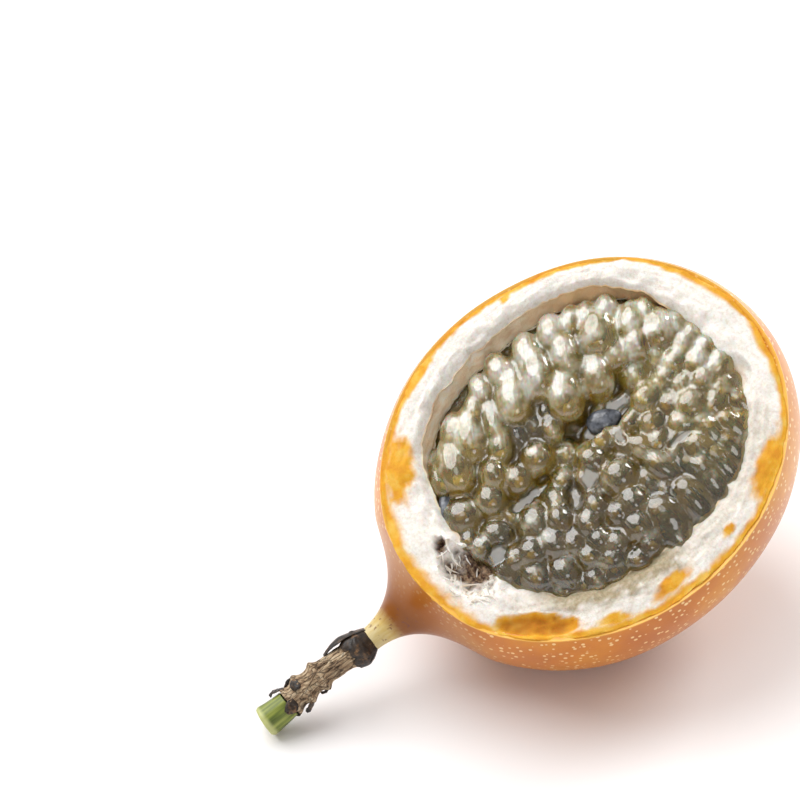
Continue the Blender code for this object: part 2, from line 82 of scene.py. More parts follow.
# The sacs, lobe by lobe: where the free ends point and their lean off upright in degrees,
# and then each sac's middle on the cut face, its radius and its length in millimetres
SAC_LOBES = (
    # along the +Y wall, lying towards the valley
    (-120, 60, (
        (-3.0, 14.0, 3.0, 10.5), (1.8, 14.3, 2.6, 9.0), (7.0, 13.8, 2.5, 7.5),
        (12.6, 13.4, 3.1, 7.8), (17.6, 11.2, 2.3, 6.5), (13.8, 18.0, 1.8, 4.4),
        (16.5, 16.0, 1.8, 4.4), (11.0, 18.2, 1.8, 5.0), (7.6, 18.3, 2.0, 6.0),
        (2.9, 19.4, 2.3, 6.0), (-2.0, 19.4, 2.1, 5.5), (-6.0, 18.6, 1.9, 5.0),
        (-8.8, 17.0, 1.9, 5.0), (-11.8, 13.2, 2.8, 9.0), (-9.2, 9.2, 2.2, 7.0),
        (-16.4, 10.8, 2.7, 9.2), (-19.6, 12.0, 1.9, 8.0), (-14.0, 17.0, 1.9, 5.5),
        (-7.6, 12.6, 1.8, 7.5), (-0.4, 8.6, 1.6, 4.2), (-3.4, 8.4, 1.6, 4.2),
        (-6.0, 8.6, 1.6, 4.5), (-1.7, 6.1, 2.0, 5.0), (3.0, 8.6, 2.6, 8.5),
        (8.4, 8.0, 3.0, 8.0), (13.6, 4.4, 2.8, 7.5), (12.9, 9.0, 2.3, 6.0),
        (16.2, 8.0, 2.4, 6.0), (19.8, 7.0, 2.8, 7.0), (20.6, 11.2, 1.9, 4.6),
        (17.4, 4.6, 1.9, 5.0), (23.4, 6.4, 1.9, 4.6), (24.2, 3.4, 2.0, 4.6),
        (4.6, 17.4, 1.7, 5.0), (-0.6, 17.2, 1.7, 5.0),
    )),
    # in the middle and towards the stalk, blunt ends up
    (-120, 22, (
        (-21.2, 4.9, 3.3, 9.5), (-24.0, 7.6, 1.8, 7.0), (-12.7, 6.1, 2.2, 7.0),
        (-10.4, 2.8, 2.3, 7.0), (-6.2, 3.8, 2.4, 7.0), (-2.1, 1.8, 2.2, 7.0),
        (-15.5, 3.0, 2.4, 7.0), (-18.0, -1.9, 2.6, 7.0), (-12.6, -4.4, 2.8, 8.0),
        (-9.4, -6.4, 2.0, 6.5), (-11.3, -1.0, 1.5, 5.5), (-8.0, -3.4, 1.8, 6.0),
        (-21.1, -2.2, 1.8, 5.0), (-23.3, 0.4, 1.6, 4.6), (-18.6, -6.0, 2.0, 7.0),
        (-15.7, -7.4, 2.3, 7.0), (-17.4, -10.4, 2.6, 7.5), (-21.5, -7.2, 2.3, 7.0),
        (-22.2, -10.4, 1.8, 5.0), (-13.9, -12.6, 2.9, 8.0), (-12.4, -8.6, 2.2, 7.0),
        (-10.2, -10.0, 2.0, 6.5), (-9.7, -13.2, 2.0, 6.5), (-19.4, -13.2, 2.0, 6.0),
        (-16.6, -15.4, 2.0, 6.0), (-13.6, -17.0, 2.1, 6.0), (-11.0, -16.4, 2.0, 6.0),
        (-5.3, -1.6, 2.1, 7.0), (0.0, -2.4, 2.5, 7.5), (3.0, -0.8, 1.9, 6.0),
        (1.5, -6.9, 3.2, 9.0), (-3.8, -7.9, 2.2, 7.0), (-6.6, -9.4, 2.1, 7.0),
        (-7.2, -12.2, 2.3, 7.0), (0.3, -11.3, 2.3, 7.0), (-2.6, -11.0, 1.8, 6.0),
        (-1.4, -14.2, 2.4, 7.0), (-5.2, -14.2, 2.0, 6.5), (-7.2, -15.6, 2.2, 7.0),
        (-8.8, -18.2, 2.3, 6.0), (-4.4, -18.0, 2.1, 6.0), (-1.4, -17.4, 2.2, 7.0),
        (-14.6, -0.8, 1.6, 5.5), (5.9, 3.0, 1.8, 6.0),
    )),
    # along the -Y wall, lying towards the valley
    (95, 52, (
        (2.4, -15.7, 2.8, 8.0), (1.8, -18.8, 2.0, 6.0), (7.6, -16.2, 2.9, 9.0),
        (11.5, -15.0, 2.2, 8.5), (14.2, -14.6, 2.0, 8.0), (17.0, -13.6, 2.0, 7.5),
        (19.2, -11.2, 2.0, 7.0), (21.0, -12.2, 1.7, 6.0), (22.4, -9.4, 1.9, 6.0),
        (13.1, -11.2, 2.1, 6.5), (16.2, -10.2, 2.0, 6.5), (10.4, -12.0, 1.8, 5.5),
        (4.2, -10.6, 2.0, 6.0), (5.4, -13.2, 1.9, 5.5), (7.0, -6.4, 2.2, 7.0),
        (7.2, -9.6, 2.4, 7.0), (9.8, -9.6, 1.8, 6.0), (5.0, -3.8, 1.8, 5.5),
    )),
    # at the far end, turned inwards
    (-170, 38, (
        (21.9, 2.8, 2.0, 6.0), (18.9, 1.6, 2.0, 6.0), (21.8, -0.6, 1.7, 6.0),
        (24.3, 0.4, 1.6, 5.0), (23.8, -3.0, 1.9, 6.0), (16.4, 0.6, 1.8, 5.0),
        (12.1, -0.3, 2.4, 6.5), (14.4, -3.2, 1.9, 5.5), (16.6, -5.3, 2.4, 7.0),
        (17.8, -2.2, 1.9, 5.5), (20.5, -3.4, 1.9, 6.0), (21.9, -6.5, 2.2, 7.0),
        (19.3, -7.4, 2.0, 6.0), (13.8, -6.5, 2.1, 6.0), (16.0, -8.0, 1.8, 6.0),
        (11.8, -8.0, 1.9, 6.0), (10.4, -4.0, 2.2, 6.0), (9.4, -6.6, 1.9, 6.0),
        (8.2, -1.4, 1.7, 5.5),
    )),
)

# Still pools of juice between the sacs: middle on the cut face and half sizes
POOLS = (
    ((8.6, 2.4), (3.0, 1.2)),
    ((3.4, 1.4), (1.8, 1.2)),
    ((-2.6, -4.8), (1.7, 1.9)),
    ((-12.4, -0.6), (3.6, 0.9)),
    ((-22.0, -4.8), (1.8, 1.4)),
    ((12.8, -9.2), (2.2, 0.7)),
    ((5.6, -2.2), (0.9, 1.9)),
)
POOL_DEPTH = 1.5 * MM
BED_DEPTH = 3.1 * MM
RIM_RISE = 0.9 * MM
RIM_GROWTH = 0.7 * MM
OPEN_SHRINK = 0.7 * MM
GEL_FULLNESS = 1.25
GEL_SPREAD = 1.09
GEL_GATHER = 0.97
# Painted sheen: gel that faces this way is made paler and cloudier, like a highlight.
SHEEN_PAINT_SIDE = Vector((0.0, 0.6, 0.8))
GEL_LENGTH = 1.26
GEL_TAPER = 0.2
GEL_LYING = 0.42
CROWN_RISE = 1.9 * MM
VALLEY_DEPTH = 3.7 * MM
VALLEY_AT = 1.6 * MM
VALLEY_WIDTH = 3.6 * MM
EDGE_FALL = 3.1 * MM

# The stalk, as its solids have it
GAP = 0.35 * MM
WOOD_END = 63.6 * MM
STALK_END = 68.6 * MM
STALK_RADIUS = 2.15 * MM
GREEN_RADIUS = 2.35 * MM
GREEN_FLARE = 0.35 * MM
TIP_DROP = 0.7 * MM
TIP_SWING = 0.5 * MM
SWAY = 0.3 * MM
STALK_SIDES = 18
JOINT_RINGS = (
    # distance along the stalk, extra radius, width
    (49.4 * MM, 0.75 * MM, 1.3 * MM),
    (56.9 * MM, 0.75 * MM, 0.7 * MM),
    (60.1 * MM, 0.85 * MM, 0.8 * MM),
    (63.0 * MM, 0.65 * MM, 0.7 * MM),
)

# Fineness of the meshes. Blender's torus has at most 256 places round, and each of the pith's
# takes the nearest of its sections
BODY_RINGS = 120
NECK_RINGS = 34
SPIN_STEPS = 160
PITH_AROUND = 720
GEL_VOXEL = 0.34 * MM
GEL_SMOOTHING = 7
MEMBRANE_SIDES = 420
MEMBRANE_CUTS = 12

# Where the skin, the pith, the gel and the core end
SKIN_THICKNESS = 0.9 * MM
PITH_END = 37 * MM
GEL_FLOOR = 2 * MM
CORE_SHRINK = 0.7 * MM
CORE_SUNK = 1.6 * MM

# The pith's section, as rows from its outer side over the cut face, down the wall and back
OUTER_ROWS = 6
FACE_ROWS = 40
WALL_ROWS = 16
LOWER_ROWS = 10
BACK_ROWS = 10
PITH_ROWS = OUTER_ROWS + FACE_ROWS + WALL_ROWS + LOWER_ROWS + BACK_ROWS
PITH_LAP = 0.15 * MM
STEEPEST = math.radians(88)

# The lining slopes in to the pulp along the +Y wall: how far in, over what depth
SLOPE_IN = 4.2 * MM
SLOPE_DEPTH = 4.6 * MM
SLOPE_MIDDLE = math.radians(92)
SLOPE_SPAN = math.radians(86)

# Seeds that lie bare: middle on the cut face, height over the juice, half sizes, turn
BARE_SEEDS = (
    ((5.7, 1.6), 1.0, (3.0, 2.0, 1.2), -18),
    ((-23.5, 7.0), 0.9, (3.4, 1.1, 0.9), 52),
    ((1.9, -19.6), 1.0, (2.6, 1.2, 0.9), -120),
)

# The torn places in the cut face: middle, half sizes, turn in degrees
RECESS = ((-24.2 * MM, -18.0 * MM), (6.9 * MM, 1.9 * MM, 1.7 * MM), -39)
# The dark hole is also coloured near black all over, as painted shade.
DARK_HOLE = ((-28.0 * MM, 2.2 * MM), (1.3 * MM, 0.9 * MM, 2.4 * MM), 30)
TORN_PIT = ((-27.3 * MM, -4.0 * MM), (3.6 * MM, 5.2 * MM, 3.2 * MM), 14)
SMALL_PIT = ((26.6 * MM, -6.6 * MM), (2.7 * MM, 3.3 * MM, 2.6 * MM), -18)

# The torn threads by the neck: how far out in the pit they root, their sizes, the way they
# mostly point, and the share of the way to the hollow that none goes past
THREAD_COUNT = 90
THREAD_OUT = (0.55, 1.2)
THREAD_SUNK = (0.1, 0.4)
THREAD_LENGTH = (1.4, 3.4)
THREAD_WIDTH = (0.14, 0.4)
THREAD_WAY = Vector((0.25, -0.65, 0))
THREAD_LIMIT = 0.92

# Orange flesh that the knife laid bare: middle, half sizes, turn in degrees
FLESH_PATCHES = (
    ((6.3 * MM, 27.8 * MM), (1.2 * MM, 0.8 * MM), 12),
    ((-25.4 * MM, 16.2 * MM), (6.4 * MM, 2.7 * MM), 49),
    ((-13.0 * MM, 27.0 * MM), (6.0 * MM, 1.2 * MM), 20),
    ((20.8 * MM, -21.8 * MM), (6.6 * MM, 2.3 * MM), 30),
    ((9.0 * MM, -25.8 * MM), (1.3 * MM, 0.9 * MM), 20),
    ((-3.4 * MM, -26.6 * MM), (4.2 * MM, 1.4 * MM), 4),
    ((-14.0 * MM, -25.2 * MM), (3.2 * MM, 1.0 * MM), -22),
)

# The camera, from how the photograph's perspective fits the fruit
CAMERA_AZIMUTH = -32
CAMERA_ELEVATION = 40
CAMERA_DISTANCE = 0.412
FOCAL_PIXELS = 2464.0
SENSOR = 36.0
IMAGE_SIDE = 800.0
FRUIT_IN_IMAGE = (586.8, 462.9)

# Soft lights: name, azimuth, elevation, distance, width, height to width, power
LIGHTS = (
    ("back_softbox", -150, 58, 1.0, 1.15, 1.0, 12.0),
    ("top_softbox", -50, 66, 0.9, 0.38, 1.0, 0.65),
    ("front_softbox", -10, 30, 1.1, 0.4, 1.0, 1.0),
    ("side_softbox", 105, 28, 0.9, 0.34, 2.0, 5.0),
)
ROOM_COLOUR = (1.0, 0.985, 0.98, 1)
ROOM_STRENGTH = 0.42
FLOOR_SIZE = 6


# Helpers for modelling


def pick(obj):
    """Selects one object alone and makes it the active one."""
    bpy.ops.object.select_all(action="DESELECT")
    obj.select_set(True)
    bpy.context.view_layer.objects.active = obj


def edit(obj):
    """Opens an object in edit mode with all of it selected."""
    pick(obj)
    bpy.ops.object.mode_set(mode="EDIT")
    bpy.ops.mesh.select_all(action="SELECT")


def leave():
    bpy.ops.object.mode_set(mode="OBJECT")


def modify(obj, kind, **settings):
    """Adds a modifier and applies it."""
    step = obj.modifiers.new(kind.lower(), kind)
    for name, value in settings.items():
        setattr(step, name, value)
    pick(obj)
    bpy.ops.object.modifier_apply(modifier=step.name)


def shape(obj, mover):
    """Moves each point of the mesh to where the mover puts it."""
    for vert in obj.data.vertices:
        vert.co = mover(vert.co.copy())
    obj.data.update()


def added(name):
    """The primitive that was just added, named, at the origin."""
    obj = bpy.context.active_object
    obj.name = name
    obj.data.name = name
    bpy.ops.object.transform_apply(location=True, rotation=True, scale=True)
    return obj


def ball(name, sides, rings):
    """A ball of radius 1 about the origin."""
    bpy.ops.object.select_all(action="DESELECT")
    bpy.ops.mesh.primitive_uv_sphere_add(segments=sides, ring_count=rings, radius=1)
    return added(name)


def spun(name, profile, steps):
    """A form spun about the X axis from places along it with their radii."""
    bpy.ops.object.select_all(action="DESELECT")
    bpy.ops.mesh.primitive_circle_add(vertices=3, radius=MM)
    obj = added(name)
    edit(obj)
    bpy.ops.mesh.merge(type="CENTER")
    bpy.ops.transform.translate(value=(profile[0][0], 0, profile[0][1]))
    for near, far in zip(profile, profile[1:]):
        step = (far[0] - near[0], 0, far[1] - near[1])
        bpy.ops.mesh.extrude_region_move(TRANSFORM_OT_translate={"value": step})
    bpy.ops.mesh.select_all(action="SELECT")
    bpy.ops.mesh.spin(steps=steps, angle=2 * math.pi, center=(0, 0, 0), axis=(1, 0, 0))
    bpy.ops.mesh.select_all(action="SELECT")
    bpy.ops.mesh.remove_doubles(threshold=MM / 1000)
    bpy.ops.mesh.normals_make_consistent(inside=False)
    leave()
    return obj


def cut_at(obj, place, facing, fill):
    """Takes off what lies past a plane."""
    edit(obj)
    bpy.ops.mesh.bisect(
        plane_co=place, plane_no=facing, use_fill=fill, clear_outer=True
    )
    leave()


def copied(pattern):
    """One copy of a pattern piece, with a mesh of its own."""
    copy = pattern.copy()
    copy.data = pattern.data.copy()
    bpy.context.scene.collection.objects.link(copy)
    return copy


def copies(pattern, places, name):
    """Copies of a pattern piece at each place, as one mesh. The pattern goes."""
    made = []
    for place in places:
        made.append(copied(pattern))
        made[-1].data.transform(place)
    bpy.data.objects.remove(pattern)
    return joined(made, name)


def joined(pieces, name):
    """Several pieces as one mesh."""
    pick(pieces[0])
    for piece in pieces[1:]:
        piece.select_set(True)
    if len(pieces) > 1:
        bpy.ops.object.join()
    obj = bpy.context.active_object
    obj.name = name
    obj.data.name = name
    return obj


def smooth(obj, angle=40):
    """Smooth shading, with sharp edges past an angle."""
    pick(obj)
    bpy.ops.object.shade_smooth_by_angle(angle=math.radians(angle))


def paint_points(obj, name, colour_at):
    """Gives each point of the mesh four amounts, which the material reads by name."""
    layer = obj.data.color_attributes.new(name=name, type="FLOAT_COLOR", domain="POINT")
    amounts = []
    for vert in obj.data.vertices:
        amounts.extend(colour_at(vert.co))
    layer.data.foreach_set("color", amounts)


def settle(obj, finish, stands_for=None):
    """Turns a finished piece to how the fruit rests, and gives it its finish and body."""
    obj.matrix_world = FRUIT
    pick(obj)
    bpy.ops.object.transform_apply(location=True, rotation=True, scale=True)
    obj.data.materials.clear()
    obj.data.materials.append(finish)
    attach(obj, "root")
    if stands_for:
        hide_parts(stands_for)
    return obj


def step_between(low, high, value):
    """0 below the low value, 1 above the high one, and smooth between them."""
    share = min(1.0, max(0.0, (value - low) / (high - low)))
    return share * share * (3 - 2 * share)


def grain(point, size, seed=0.0):
    """Smooth noise from -1 to 1 with forms of that size."""
    return noise.noise(point / size + Vector((seed, seed * 0.7, -seed)))


# The fruit's forms, as its solids have them


def ovoid_radius(x):
    """The fruit's radius at that place along its axis, without the neck."""
    share = min(1.0, abs(x) / FRUIT_HALF_LENGTH)
    return FRUIT_RADIUS * math.sqrt(max(0.0, 1.0 - share * share))


def neck_curve(steps):
    """Places and radii from the ovoid's side to the neck's end, along one smooth curve."""
    radius = ovoid_radius(NECK_FROM)
    slope = -(FRUIT_RADIUS**2) * NECK_FROM / (FRUIT_HALF_LENGTH**2 * radius)
    going = Vector((1.0, slope)).normalized() * NECK_PULL_IN
    start = Vector((NECK_FROM, radius))
    stop = Vector((NECK_END, NECK_RADIUS))
    made = []
    for i in range(steps + 1):
        t = i / steps
        u = 1 - t
        pull_in = 3 * u * u * t * (start + going)
        pull_out = 3 * u * t * t * (stop - Vector((NECK_PULL_OUT, 0.0)))
        point = u**3 * start + pull_in + pull_out + t**3 * stop
        made.append((-point.x, point.y))
    return made


NECK = neck_curve(NECK_RINGS)


def side_radius(x):
    """The fruit's radius at that place along its axis, neck included."""
    if x > -NECK_FROM:
        return ovoid_radius(x)
    for near, far in zip(NECK, NECK[1:]):
        if x >= far[0]:
            share = (x - near[0]) / (far[0] - near[0])
            return near[1] + (far[1] - near[1]) * share
    return NECK_RADIUS


def bumpy(point):
    """Low unevenness of a real fruit's side."""
    return UNEVENNESS * noise.noise(point * (1 / (19 * MM)) + Vector((3.1, 0.4, 7.7)))


def uneven(point):
    """Where a point of the true form lies on the real fruit."""
    radius = math.hypot(point.y, point.z)
    if radius < MM / 100:
        return point
    way = Vector((0, point.y, point.z)) / radius
    return point + way * bumpy(point) * min(1.0, radius / BODY_FROM)


def squared(way):
    """How far the hollow's side lies outside a true ovoid: it is fuller between its axes."""
    level = math.hypot(way.x, way.y)
    if level < 1e-6:
        return 0.0
    power = HOLLOW_SQUARENESS
    sides = (abs(way.x) / level) ** power + (abs(way.y) / level) ** power
    return (sides ** (-1 / power) - 1) * level**2


def hollow_wave(way):
    wave = noise.noise(way * 1.9 + Vector((5.0, 1.0, 2.0)))
    return squared(way) + PITH_WAVE / HOLLOW_HALF.y * wave


def in_hollow(point):
    """Whether a point is inside the hollow that holds the pulp."""
    way = Vector((p - c) / h for p, c, h in zip(point, HOLLOW_CENTRE, HOLLOW_HALF))
    return way.length < 1.0 + hollow_wave(way.normalized())


def in_skin(point):
    """Whether a point is inside the skin's inner side, above the flat that it rests on."""
    radius = side_radius(point.x)
    limit = radius + bumpy(point) * min(1.0, radius / BODY_FROM) - SKIN_THICKNESS
    out = math.hypot(point.y, point.z)
    over_flat = (FRUIT @ point).z > SKIN_THICKNESS
    level = math.sqrt(max(0.0, 1 - (out / FRUIT_RADIUS) ** 2))
    far_end = (FRUIT_HALF_LENGTH - 1.3 * SKIN_THICKNESS) * level
    return out < limit and over_flat and -PITH_END < point.x < far_end


def reach(turn, height, within, dip=0.0):
    """How far a line out from the hollow's axis stays within a form, level or dipping."""
    near, far = 0.0, 60 * MM
    level = math.cos(dip)
    way = Vector((math.cos(turn) * level, math.sin(turn) * level, -math.sin(dip)))
    start = Vector((HOLLOW_CENTRE.x, HOLLOW_CENTRE.y, height))
    for _ in range(18):
        middle = (near + far) / 2
        if within(start + way * middle):
            near = middle
        else:
            far = middle
    return near


def patch_distance(point, patch):
    """How far out in a patch a point lies on the cut face: 1 is its edge."""
    (x, y), half, turn = patch
    turn = -math.radians(turn)
    dx, dy = point.x - x, point.y - y
    along = dx * math.cos(turn) - dy * math.sin(turn)
    across = dx * math.sin(turn) + dy * math.cos(turn)
    return math.hypot(along / half[0], across / half[1])


def pit_depth(point, pit):
    """How deep a torn place is there."""
    out = patch_distance(point, pit)
    return pit[1][2] * math.sqrt(1 - out * out) if out < 1 else 0.0


def pulp_space():
    """Middle and half sizes of the room that the pulp has inside the hollow."""
    return HOLLOW_CENTRE + PULP_SHIFT, HOLLOW_HALF - PULP_SHRINK - Vector((PITH_WAVE,) * 3)


def heap_top(x, y):
    """Height of the heap of sacs above the fruit's axis."""
    centre, half = pulp_space()
    across = math.hypot((x - centre.x) / half.x, (y - centre.y) / half.y)
    wander = 2.2 * MM * math.sin(x / (9 * MM))
    valley = math.exp(-(((y - VALLEY_AT - wander) / VALLEY_WIDTH) ** 2))
    fade = max(0.0, 1.0 - (x / (24 * MM)) ** 2)
    edge = max(0.0, across - 0.55) / 0.45
    return CUT_HEIGHT + CROWN_RISE - VALLEY_DEPTH * valley * fade - EDGE_FALL * edge**2


def inside(point, margin):
    """Whether a point is at least that far inside the pulp's room."""
    centre, half = pulp_space()
    way = Vector((p - c) / (h - margin) for p, c, h in zip(point, centre, half))
    return way.length < 1.0 + squared(way.normalized())


def sac_places():
    """Where each seed sac's blunt end is, the way it points, its length and its radius."""
    draw = random.Random(SEED)
    sacs = []
    for turn, lean, members in SAC_LOBES:
        for x, y, radius, length in members:
            swing = math.radians(turn + draw.uniform(-TURN_PLAY, TURN_PLAY))
            tip = math.radians(lean + draw.uniform(-LEAN_PLAY, LEAN_PLAY))
            level = Vector((math.cos(swing), math.sin(swing), 0)) * math.sin(tip)
            way = level + Vector((0, 0, math.cos(tip)))
            sacs.append(placed_sac(x * MM, y * MM, way, length * MM, radius * SAC_SWELL * MM))
    return sacs


def placed_sac(x, y, way, length, radius):
    """One sac moved inwards until it is inside the pulp's room, with its root in the core."""
    centre, _ = pulp_space()
    past = length / 2 - radius
    end = Vector((x, y, heap_top(x, y) - radius - past * way.z)) + way * past
    for _ in range(14):
        root = end - way * (length - 2 * radius)
        if inside(end, radius) and inside(root, radius * 0.6):
            break
        end -= Vector((end.x - centre.x, end.y - centre.y, 0)) * 0.03
        way = (way + Vector((0, 0, 0.1))).normalized()
    root = end - way * (length - 2 * radius)
    end.z -= max(0.0, root.z - radius * ROOT_SINK - CORE_TOP)
    return end, way, length, radius


def stalk_line(distance):
    """A point on the stalk's middle line, at that distance from the fruit's middle."""
    past = max(0.0, distance - NECK_END) / (STALK_END - NECK_END)
    drop = TIP_DROP * past**1.7
    swing = TIP_SWING * past**2 + SWAY * (1 - math.cos(past * 7.0))
    return Vector((-distance, swing, -drop))


def stalk_frame(distance):
    """Middle, way outward and two directions across the stalk there."""
    step = 0.2 * MM
    middle = stalk_line(distance)
    way = (stalk_line(distance + step) - stalk_line(distance - step)).normalized()
    up = (Vector((0, 0, 1)) - way * way.z).normalized()
    return middle, way, up, way.cross(up)


def wood_radius(distance):
    """The woody stalk's radius, with a swollen ring at each joint."""
    radius = STALK_RADIUS
    for place, extra, width in JOINT_RINGS:
        radius += extra * math.exp(-(((distance - place) / width) ** 2))
    return radius


def green_radius(distance):
    """The green end widens to its cut."""
    past = (distance - WOOD_END) / (STALK_END - WOOD_END)
    return GREEN_RADIUS + GREEN_FLARE * past


def on_stalk(distance, turn, radius):
    """A point at that distance along the stalk, that way round it and that far out."""
    middle, _, up, across = stalk_frame(distance)
    return middle + (up * math.cos(turn) + across * math.sin(turn)) * radius


def fruit_frame():
    """Where the fruit's own frame lies on the table, and how it is turned."""
    turn = Matrix.Rotation(-STALK_DROOP, 3, "Y") @ Matrix.Rotation(FACE_ROLL, 3, "X")
    down = turn.inverted() @ Vector((0, 0, -1))
    belly = math.sqrt(
        (FRUIT_HALF_LENGTH * down.x) ** 2 + FRUIT_RADIUS**2 * (1 - down.x**2)
    )
    green = []
    for distance in (WOOD_END, STALK_END):
        for k in range(STALK_SIDES):
            side = 2 * math.pi * k / STALK_SIDES
            green.append(turn @ on_stalk(distance, side, green_radius(distance)))
    low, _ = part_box("stalk_end")
    left = min(point.x for point in green)
    front = min(point.y for point in green)
    middle = Vector((low.x - left, low.y - front, belly - FLAT_DEPTH))
    return Matrix.Translation(middle) @ turn.to_4x4()


FRUIT = fruit_frame()


# Helpers for finishes


def finish_named(name, roughness, **sockets):
    """A new material with its shader's constant values set."""
    made = bpy.data.materials.new(name)
    made.use_nodes = True
    shader = made.node_tree.nodes["Principled BSDF"]
    shader.inputs["Roughness"].default_value = roughness
    for socket, value in sockets.items():
        shader.inputs[socket.replace("_", " ")].default_value = value
    return made, made.node_tree, shader


def add(tree, kind, inputs, out=0, **settings):
    """A node with its inputs set or linked. Gives one of its outputs."""
    made = tree.nodes.new("ShaderNode" + kind)
    for name, value in settings.items():
        setattr(made, name, value)
    for name, value in inputs.items():
        if isinstance(value, bpy.types.NodeSocket):
            tree.links.new(value, made.inputs[name])
        else:
            made.inputs[name].default_value = value
    return made.outputs[out]


def place_in_fruit(tree):
    """The surface point in the fruit's own frame, in millimetres."""
    spot = add(tree, "TexCoord", {}, "Object")
    return add(
        tree,
        "Mapping",
        {
            "Vector": spot,
            "Location": FRUIT.translation,
            "Rotation": FRUIT.to_euler(),
            "Scale": (MM, MM, MM),
        },
        vector_type="TEXTURE",
    )


def stretched(tree, spot, scale):
    return add(tree, "Mapping", {"Vector": spot, "Scale": scale}, vector_type="POINT")


def noise_at(tree, spot, scale, detail=3.0, rough=0.55):
    facts = {"Vector": spot, "Scale": scale, "Detail": detail, "Roughness": rough}
    return add(tree, "TexNoise", facts, "Fac")


def ramp(tree, amount, *stops):
    """Colours at places from 0 to 1, blended between them."""
    made = tree.nodes.new("ShaderNodeValToRGB")
    tree.links.new(amount, made.inputs["Fac"])
    elements = made.color_ramp.elements
    while len(elements) < len(stops):
        elements.new(0.5)
    for element, (place, colour) in zip(elements, stops):
        element.position = place
        element.color = (*colour, 1.0)
    return made.outputs["Color"]


def gray(tree, amount, low, high, to_low=0.0, to_high=1.0):
    """Maps a span of amounts to another, held at its ends."""
    facts = {"Value": amount, 1: low, 2: high, 3: to_low, 4: to_high}
    return add(tree, "MapRange", facts, "Result", clamp=True)


def calc(tree, how, first, second=0.0):
    return add(tree, "Math", {0: first, 1: second}, operation=how)


def blend(tree, amount, first, second, how="MIX"):
    """One colour over another, by an amount."""
    made = tree.nodes.new("ShaderNodeMix")
    made.data_type = "RGBA"
    made.blend_type = how
    for index, value in ((0, amount), (6, first), (7, second)):
        if isinstance(value, bpy.types.NodeSocket):
            tree.links.new(value, made.inputs[index])
        elif index:
            made.inputs[index].default_value = (*value, 1.0)
        else:
            made.inputs[index].default_value = value
    return made.outputs[2]


def bump(tree, shader, height, strength, distance):
    facts = {"Height": height, "Strength": strength, "Distance": distance}
    made = add(tree, "Bump", facts, "Normal")
    tree.links.new(made, shader.inputs["Normal"])


def colour(tree, shader, value):
    tree.links.new(value, shader.inputs["Base Color"])


def painted(tree):
    """The four amounts that paint_points gave each point of the mesh."""
    marks = tree.nodes.new("ShaderNodeVertexColor")
    marks.layer_name = "marks"
    split = tree.nodes.new("ShaderNodeSeparateColor")
    tree.links.new(marks.outputs["Color"], split.inputs["Color"])
    return (*split.outputs, marks.outputs["Alpha"])


def clouded_finish(name, roughness, cloud, stops, relief=None, **sockets):
    """A finish of colours blended by noise, with finer noise as relief where it is given:
    its scale, detail, strength and distance."""
    made, tree, shader = finish_named(name, roughness, **sockets)
    spot = place_in_fruit(tree)
    colour(tree, shader, ramp(tree, noise_at(tree, spot, *cloud), *stops))
    if relief:
        scale, detail, strength, distance = relief
        bump(tree, shader, noise_at(tree, spot, scale, detail), strength, distance)
    return made


# Finishes


